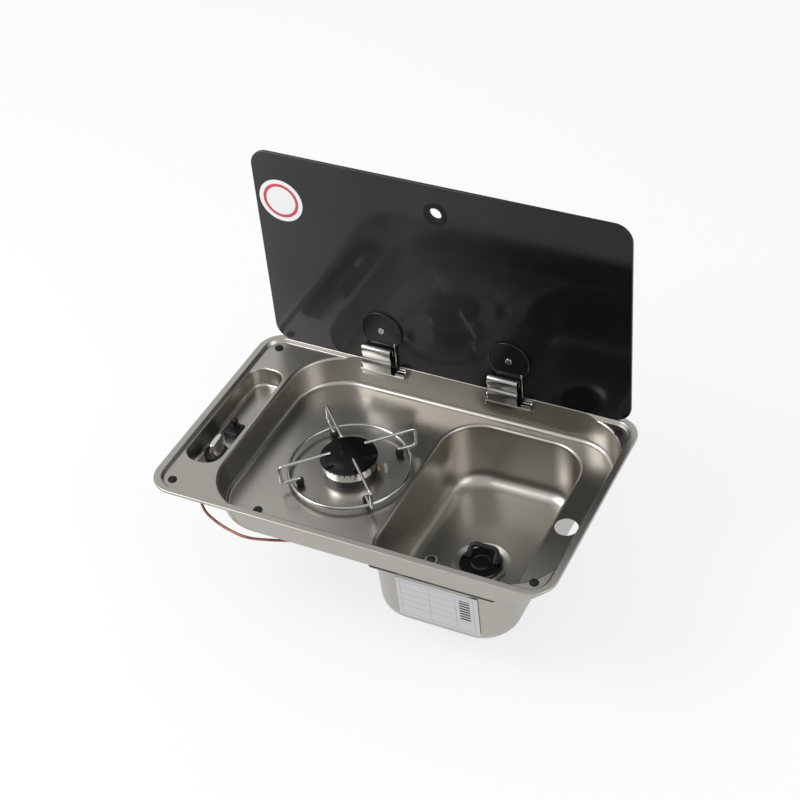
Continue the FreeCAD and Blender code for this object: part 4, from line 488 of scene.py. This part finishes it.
FINISHES = {f.__name__: f for f in (
    satin_steel, chrome, zinc_steel, smoked_glass, rubber_black, foam_seal, sticker, label, black_gloss,
    black_plastic, enamel, black_steel, cast_aluminium, bright_ring, brass, copper, ceramic, silver_lever,
    lead_sleeve)}


def dress_frame():
    """Every CAD node takes the finish that its material slot in the record names."""
    made = {name: make() for name, make in FINISHES.items()}
    for part in frame["record"]["subparts"]:
        node = frame["nodes"][part["node"]]
        node.data.materials.clear()
        node.data.materials.append(made[part["material_slot"]])
    frame["nodes"]["thermocouple"].data.materials[0] = probe_tip()
    return made


def mesh_piece(name, points, body, slot, sharp, stands_for=()):
    """A grid of points made a piece: rows and columns joined in quads, the last column to the first."""
    rows, columns = points.shape[:2]
    index = np.arange(rows * columns).reshape(rows, columns)
    index = np.concatenate((index, index[:, :1]), axis=1)
    quads = np.stack((index[:-1, :-1], index[:-1, 1:], index[1:, 1:], index[1:, :-1]), axis=-1)
    mesh = bpy.data.meshes.new(name)
    mesh.from_pydata(points.reshape(-1, 3).tolist(), [], quads.reshape(-1, 4).tolist())
    shell = bmesh.new()
    shell.from_mesh(mesh)
    bmesh.ops.remove_doubles(shell, verts=shell.verts, dist=SAME_POINT)
    bmesh.ops.recalc_face_normals(shell, faces=shell.faces)
    shell.to_mesh(mesh)
    shell.free()
    mesh.shade_smooth()
    mesh.set_sharp_from_angle(angle=math.radians(sharp))
    piece = bpy.data.objects.new(name, mesh)
    bpy.context.scene.collection.objects.link(piece)
    piece.data.materials.append(finishes[slot])
    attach(piece, body)
    if stands_for:
        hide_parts(*stands_for)


def rounded_edges(name):
    """Small rounds on a CAD node's edges, which catch the light as on the real piece."""
    node = frame["nodes"][name]
    weld = node.modifiers.new("weld", "WELD")
    weld.merge_threshold = WELD_REACH
    bevel = node.modifiers.new("edge_rounds", "BEVEL")
    bevel.width = EDGE_ROUND
    bevel.segments = 3
    bevel.limit_method = "ANGLE"
    bevel.angle_limit = math.radians(SHARP_TURNED)
    even = node.modifiers.new("even_normals", "WEIGHTED_NORMAL")
    even.keep_sharp = True


def squared(wave, power):
    """A sine or cosine bent toward a rounded oblong: its size raised to a power, its sign kept."""
    return np.sign(wave) * np.abs(wave) ** power


def knob_fin():
    """Silver grip of the knob. Its section at height t is a rounded oblong |x/a|^n + |y/b|^n = 1. The half
    width a and half length b go from the foot's to the head's, and the last heights draw in along a quarter
    circle."""
    turn = np.linspace(0, 2 * np.pi, GRIP_STEPS, endpoint=False)
    quarter = np.linspace(GRIP_ROUND_START, np.pi / 2, GRIP_ROUND_ROWS)
    height = np.concatenate((np.linspace(0, GRIP_STRAIGHT, GRIP_ROWS),
                             GRIP_STRAIGHT + (1 - GRIP_STRAIGHT) * np.sin(quarter), [1.0]))
    draw = np.concatenate((np.ones(GRIP_ROWS), 1 - GRIP_DRAW * (1 - np.cos(quarter)), [0.0]))
    t, around = np.meshgrid(height, turn, indexing="ij")
    foot, head = np.array(KNOB_FIN_FOOT), np.array(KNOB_FIN_HEAD)
    a, b, middle = np.moveaxis(foot + (head - foot) * (t ** GRIP_TAPER)[..., None], -1, 0)
    x = KNOB_CENTRE[0] + draw[:, None] * a * squared(np.cos(around), GRIP_POWER)
    y = middle + draw[:, None] * b * squared(np.sin(around), GRIP_POWER)
    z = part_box("knob_lever")[1].z - KNOB_FIN_RISE * (1 - t)
    mesh_piece("knob_fin", np.stack((x, y, z), axis=-1), "knob", "silver_lever", SHARP_SHEET, ("knob_lever",))


def turned_points(profile, centre, steps):
    """Points of a profile of (radius, height) turned about an upright line through a centre."""
    turn = np.linspace(0, 2 * np.pi, steps, endpoint=False)
    r, around = np.meshgrid(profile[:, 0], turn, indexing="ij")
    z = np.broadcast_to(profile[:, 1:], r.shape)
    return np.stack((centre[0] + r * np.cos(around), centre[1] + r * np.sin(around), z), axis=-1)


def knob_skirt():
    """Dark disc under the grip: a turned profile with a falling top, a quarter-round rim, a hollow foot."""
    low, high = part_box("knob_skirt")
    radius = (high.x - low.x) / 2
    quarter = np.linspace(np.pi / 2, 0, SKIRT_ROUND_ROWS)
    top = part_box("knob_lever")[1].z - KNOB_FIN_RISE
    edge = KNOB_SKIRT_EDGE
    r = np.concatenate(([0.0, radius / 2], radius - edge + edge * np.cos(quarter),
                        [radius, KNOB_HOLLOW, KNOB_HOLLOW, 0.0]))
    z = np.concatenate(([top, top], top - KNOB_SKIRT_SLOPE - edge + edge * np.sin(quarter),
                        [low.z, low.z, top - KNOB_ROOF, top - KNOB_ROOF]))
    points = turned_points(np.stack((r, z), axis=1), KNOB_CENTRE, SKIRT_STEPS)
    mesh_piece("knob_disc", points, "knob", "black_plastic", SHARP_TURNED, ("knob_skirt",))


def dished_cap():
    """Enamelled burner cap: a turned profile with a low crown, a rolled edge and a skirt below. It is raised
    at each pip by rise * exp(-(distance / radius)^2)."""
    low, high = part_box("burner_cap")
    radius = (high.x - low.x) / 2
    foot = high.z - low.z
    under = CAP_CROWN_FALL + CAP_SHEET
    out = np.linspace(0, CAP_CROWN_SHARE, CAP_ROWS)
    roll = np.linspace(0, np.pi, CAP_ROLL_ROWS)
    skirt, hollow = CAP_SKIRT_SHARES
    share = np.concatenate((out, CAP_EDGE_SHARE + (1 - CAP_EDGE_SHARE) * np.sin(roll),
                            [skirt, skirt, hollow, hollow, 0]))
    drop = np.concatenate((CAP_CROWN_FALL * (out / CAP_CROWN_SHARE) ** CAP_CROWN_POWER,
                           CAP_CROWN_FALL + CAP_SHEET * (1 - np.cos(roll)) / 2 + CAP_SHEET * CAP_EDGE_STEP,
                           [under, foot, foot, under, CAP_SHEET]))
    points = turned_points(np.stack((share * radius, high.z - drop), axis=1), BURNER_CENTRE, CAP_STEPS)
    crown = points[:CAP_ROWS]
    for x, y in PIPS:
        away = np.hypot(crown[..., 0] - BURNER_CENTRE[0] - x, crown[..., 1] - BURNER_CENTRE[1] - y)
        crown[..., 2] += PIP_RISE * np.exp(-(away / PIP_RADIUS) ** 2)
    mesh_piece("burner_cap_enamel", points, "burner_cap", "enamel", SHARP_SHEET, ("burner_cap",))


def eased(corners, steps=9):
    """Points of a flat line through corners (u, v, ease). Each corner is cut by a parabola from ease before
    it to ease after it."""
    spots = np.array([c[:2] for c in corners])
    line = [spots[:1]]
    t = np.linspace(0, 1, steps)[:, None]
    for before, spot, after, corner in zip(spots, spots[1:], spots[2:], corners[1:]):
        start = spot + (before - spot) / np.linalg.norm(before - spot) * corner[2]
        end = spot + (after - spot) / np.linalg.norm(after - spot) * corner[2]
        line.append((1 - t) ** 2 * start + 2 * t * (1 - t) * spot + t ** 2 * end)
    return np.concatenate(line + [spots[-1:]])


def wire_points(path, across, radius, steps=20, thick=None):
    """Skin of a round or flattened wire about a flat path: a ring of points at each place, and the two ends
    drawn in along quarter circles. The radius may change along the path, and thick is the half width across
    it."""
    radius = np.broadcast_to(radius, len(path))
    thick = radius if thick is None else np.broadcast_to(thick, len(path))
    heads = np.gradient(path, axis=0)
    heads /= np.linalg.norm(heads, axis=1)[:, None]
    tip = np.linspace(np.pi / 2, 0, TIP_ROWS + 1)[:-1]
    start = path[0] - radius[0] * np.sin(tip)[:, None] * heads[0]
    end = path[-1] + radius[-1] * np.sin(tip[::-1])[:, None] * heads[-1]
    places = np.concatenate((start, path, end))
    heads = np.concatenate((np.repeat(heads[:1], TIP_ROWS, 0), heads, np.repeat(heads[-1:], TIP_ROWS, 0)))
    wide, deep = (np.concatenate((size[0] * np.cos(tip), size, size[-1] * np.cos(tip[::-1])))[:, None, None]
                  for size in (radius, thick))
    beside = np.cross(across, heads)[:, None]
    turn = np.linspace(0, 2 * np.pi, steps, endpoint=False)[None, :, None]
    return places[:, None] + wide * np.cos(turn) * beside + deep * np.sin(turn) * np.array(across)


def arc_points(centre, radius, start, end, count):
    """Points (u, v) on an arc, with its angles in degrees."""
    angle = np.radians(np.linspace(start, end, count))
    return np.stack((centre[0] + radius * np.cos(angle), centre[1] + radius * np.sin(angle)), axis=1)


def support_ring():
    """Wire ring: a torus, its rings of points turned about the burner."""
    turn = np.linspace(0, 2 * np.pi, RING_ROWS, endpoint=False)
    profile = np.stack((RING_RADIUS + RING_WIRE * np.cos(turn), RING_Z + RING_WIRE * np.sin(turn)), axis=1)
    points = turned_points(np.concatenate((profile, profile[:1])), BURNER_CENTRE, RING_STEPS)
    mesh_piece("support_ring", points, "pan_support", "chrome", SHARP_WIRE, ("pan_support_ring",))


def finger_heading(k):
    """Flat direction, one long, in which a finger points away from the burner."""
    turn = math.radians(FINGER_FIRST + 360 / FINGERS * k)
    return math.cos(turn), math.sin(turn)


def support_finger(k):
    """Wire from over the burner past the ring, down, and back to the foot: straight runs and two bends."""
    bend = FINGER_OUT - FINGER_BEND
    path = np.concatenate((
        [(r, FINGER_TOP) for r in np.linspace(FINGER_TIP, bend, 8)[:-1]],
        arc_points((bend, FINGER_TOP - FINGER_BEND), FINGER_BEND, 90, 0, FINGER_BEND_ROWS),
        arc_points((bend, FINGER_LOW + FINGER_BEND), FINGER_BEND, 0, -90, FINGER_BEND_ROWS),
        [(r, FINGER_LOW) for r in np.linspace(bend, FOOT_PLACE, 4)[1:]]))
    x, y = finger_heading(k)
    out, z = path.T
    line = np.stack((BURNER_CENTRE[0] + out * x, BURNER_CENTRE[1] + out * y, z), axis=1)
    points = wire_points(line, (-y, x, 0.0), FINGER_WIRE)
    mesh_piece("support_finger_%d" % (k + 1), points, "pan_support", "chrome", SHARP_WIRE,
               ("pan_support_finger_%d" % (k + 1),))


def support_foot(k):
    """Rubber bead under the end of a finger: a turned rounded oblong |r/a|^n + |z/b|^m = 1."""
    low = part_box("pan_support_feet")[0].z
    half = (FOOT_TOP - low) / 2
    angle = np.linspace(-np.pi / 2, np.pi / 2, FOOT_ROWS)
    r = FOOT_RADIUS * np.cos(angle).clip(0) ** FOOT_POWERS[0]
    z = low + half + half * squared(np.sin(angle), FOOT_POWERS[1])
    x, y = finger_heading(k)
    centre = (BURNER_CENTRE[0] + FOOT_PLACE * x, BURNER_CENTRE[1] + FOOT_PLACE * y)
    points = turned_points(np.stack((r, z), axis=1), centre, FOOT_STEPS)
    mesh_piece("support_foot_%d" % (k + 1), points, "pan_support", "rubber_black", SHARP_MOULDED,
               ("pan_support_feet",) if k == 0 else ())


def sheet_points(line, x0, x1, thick):
    """Skin of a bent sheet: its section follows a line of (y, z), its thickness is even, and its two side
    edges are rounded."""
    heads = np.gradient(line, axis=0)
    heads /= np.linalg.norm(heads, axis=1)[:, None]
    out = np.stack((-heads[:, 1], heads[:, 0]), axis=1)
    turn = np.linspace(0, np.pi / 2, TIP_ROWS + 1)
    inset, full = thick / 2 * (1 - np.cos(turn)), np.sin(turn)
    places = np.concatenate((x0 + inset, x1 - inset[::-1]))
    grid = []
    for x, share in zip(places, np.concatenate((full, full[::-1]))):
        front, back = line + out * thick / 2 * share, line - out * thick / 2 * share
        loop = np.concatenate((front, back[::-1]))
        grid.append(np.column_stack((np.full(len(loop), x), loop)))
    return np.array(grid)


def hinge_leaf(side, x):
    """Bright S-shaped leaf: flat on the arm, over the shoulder, into the groove and down the front."""
    line = eased(LEAF_CORNERS)
    line[:, 0] = ARM_FACE - line[:, 0]
    points = sheet_points(line, x + LEAF_SPAN[0], x + LEAF_SPAN[1], LEAF_SHEET)
    mesh_piece("hinge_leaf_sheet_" + side, points, "lid", "chrome", SHARP_SHEET, ("hinge_leaf_" + side,))


def hinge_plate(side, x):
    """Lower edge of the hinge's base plate, flat on the sloping wall."""
    points = sheet_points(np.array(PLATE_FRONT), x + PLATE_SPAN[0], x + PLATE_SPAN[1], LEAF_SHEET)
    mesh_piece("hinge_plate_" + side, points, "chassis", "chrome", SHARP_SHEET)


def plug_handle():
    """Moulded bail of the plug, leaning back: two legs and a bar, worked out in the bail's own plane."""
    line = eased(((-BAIL_HALF, 0.0, 0.0), (-BAIL_HALF, BAIL_TOP, BAIL_CORNER),
                  (BAIL_HALF, BAIL_TOP, BAIL_CORNER), (BAIL_HALF, 0.0, 0.0)), BAIL_BEND_ROWS)
    lean = math.radians(BAIL_LEAN)
    rise = np.array((0.0, math.sin(lean), math.cos(lean)))
    path = np.array(BAIL_PIN) + line[:, :1] * np.array((1.0, 0.0, 0.0)) + line[:, 1:] * rise
    leg, bar = BAIL_LEG_AND_BAR
    wide = leg + (bar - leg) * (line[:, 1] / BAIL_TOP) ** 2
    points = wire_points(path, (0.0, -math.cos(lean), math.sin(lean)), wide, BAIL_STEPS, BAIL_THICK)
    mesh_piece("plug_handle", points, "plug_bail", "black_plastic", SHARP_MOULDED, ("plug_bail",))


def hinge_trim(side, x):
    """Raised rim around the hinge's disc and down its stem, and a painted highlight right of the stem: a
    chrome strip that stands in for the light caught on the black stem's edge.
    """
    meet = math.degrees(math.acos(STEM_HALF / DISC_RADIUS))
    disc = arc_points((0, DISC_HEIGHT), DISC_RADIUS, -meet, 180 + meet, RIM_ROWS)
    rim = np.concatenate(([(STEM_HALF, STEM_TOP)], disc, [(-STEM_HALF, STEM_TOP)]))
    line = np.stack((x + rim[:, 0], np.full(len(rim), ARM_FACE), rim[:, 1]), axis=1)
    bead = wire_points(line, (0, 1, 0), BEAD_WIRE, BEAD_STEPS)
    mesh_piece("hinge_rim_" + side, bead, "lid", "black_gloss", SHARP_WIRE)
    # Painted highlight: a bright chrome strip down the stem's right edge stands in for the light that the
    # black stem's edge catches.
    edge = np.array([(x + STEM_HALF - HIGHLIGHT_STRIP_WIRE, ARM_FACE, z) for z in np.linspace(*HIGHLIGHT_STRIP_HEIGHTS, 4)])
    bead = wire_points(edge, (0, 1, 0), HIGHLIGHT_STRIP_WIRE, BEAD_STEPS)
    mesh_piece("hinge_painted_highlight_" + side, bead, "lid", "chrome", SHARP_WIRE)


def pale_stage():
    """White floor under the object. Rays that see the background read part of it as plain white, so that the
    object's shadow stays on it."""
    f = Finish("stage_floor", (FLOOR_GREY,) * 3, 0.9)
    path = f.add("ShaderNodeLightPath")
    seen = f.either(f.either(path.outputs["Is Camera Ray"], path.outputs["Is Glossy Ray"]),
                    path.outputs["Is Transmission Ray"])
    white = f.add("ShaderNodeEmission")
    mix = f.add("ShaderNodeMixShader")
    f.link(f.scaled(seen, FLOOR_WHITE), mix.inputs[0])
    f.link(f.shader.outputs[0], mix.inputs[1])
    f.link(white.outputs[0], mix.inputs[2])
    f.link(mix.outputs[0], f.tree.nodes["Material Output"].inputs["Surface"])
    low = CAD_BOX[0].z - FLOOR_GAP
    half = FLOOR_SIDE / 2
    mesh = bpy.data.meshes.new("stage_floor")
    mesh.from_pydata([(-half, -half, low), (half, -half, low), (half, half, low), (-half, half, low)], [],
                     [(0, 1, 2, 3)])
    floor = bpy.data.objects.new("stage_floor", mesh)
    bpy.context.scene.collection.objects.link(floor)
    floor.data.materials.append(f.material)


def studio_world():
    """Plain grey surroundings, white where the camera, a reflection or a see-through part shows them."""
    world = bpy.data.worlds.new("studio")
    bpy.context.scene.world = world
    world.use_nodes = True
    tree = world.node_tree
    nodes, links = tree.nodes, tree.links
    background = nodes["Background"]
    background.inputs["Color"].default_value = (*WORLD_TINT, 1)
    background.inputs["Strength"].default_value = WORLD_FILL
    path = nodes.new("ShaderNodeLightPath")
    seen = nodes.new("ShaderNodeMath")
    seen.operation = "MAXIMUM"
    links.new(path.outputs["Is Camera Ray"], seen.inputs[0])
    links.new(path.outputs["Is Glossy Ray"], seen.inputs[1])
    seen_all = nodes.new("ShaderNodeMath")
    seen_all.operation = "MAXIMUM"
    links.new(seen.outputs[0], seen_all.inputs[0])
    links.new(path.outputs["Is Transmission Ray"], seen_all.inputs[1])
    white = nodes.new("ShaderNodeBackground")
    white.inputs["Strength"].default_value = 1.0
    mix = nodes.new("ShaderNodeMixShader")
    links.new(seen_all.outputs[0], mix.inputs[0])
    links.new(background.outputs[0], mix.inputs[1])
    links.new(white.outputs[0], mix.inputs[2])
    links.new(mix.outputs[0], nodes["World Output"].inputs["Surface"])


def soft_lamp(name, place, size, watts):
    """Large soft box that faces the object's middle."""
    data = bpy.data.lights.new(name, "AREA")
    data.shape = "RECTANGLE"
    data.size, data.size_y = size
    data.energy = watts
    lamp = bpy.data.objects.new(name, data)
    bpy.context.scene.collection.objects.link(lamp)
    facing = (-Vector(place)).to_track_quat("-Z", "Y").to_matrix().to_4x4()
    lamp.matrix_world = Matrix.Translation(place) @ facing


photo_camera()
finishes = dress_frame()
knob_fin()
knob_skirt()
dished_cap()
support_ring()
for finger in range(FINGERS):
    support_finger(finger)
    support_foot(finger)
for side, x in zip(("left", "right"), HINGE_XS):
    hinge_trim(side, x)
    hinge_leaf(side, x)
    hinge_plate(side, x)
plug_handle()
for crisp in ("hinge_arm_left", "hinge_arm_right", "hinge_base_left", "hinge_base_right", "igniter_collar",
              "lid_glass"):
    rounded_edges(crisp)
pale_stage()
studio_world()
for lamp in LAMPS:
    soft_lamp(*lamp)
bpy.context.scene.view_settings.view_transform = "Standard"
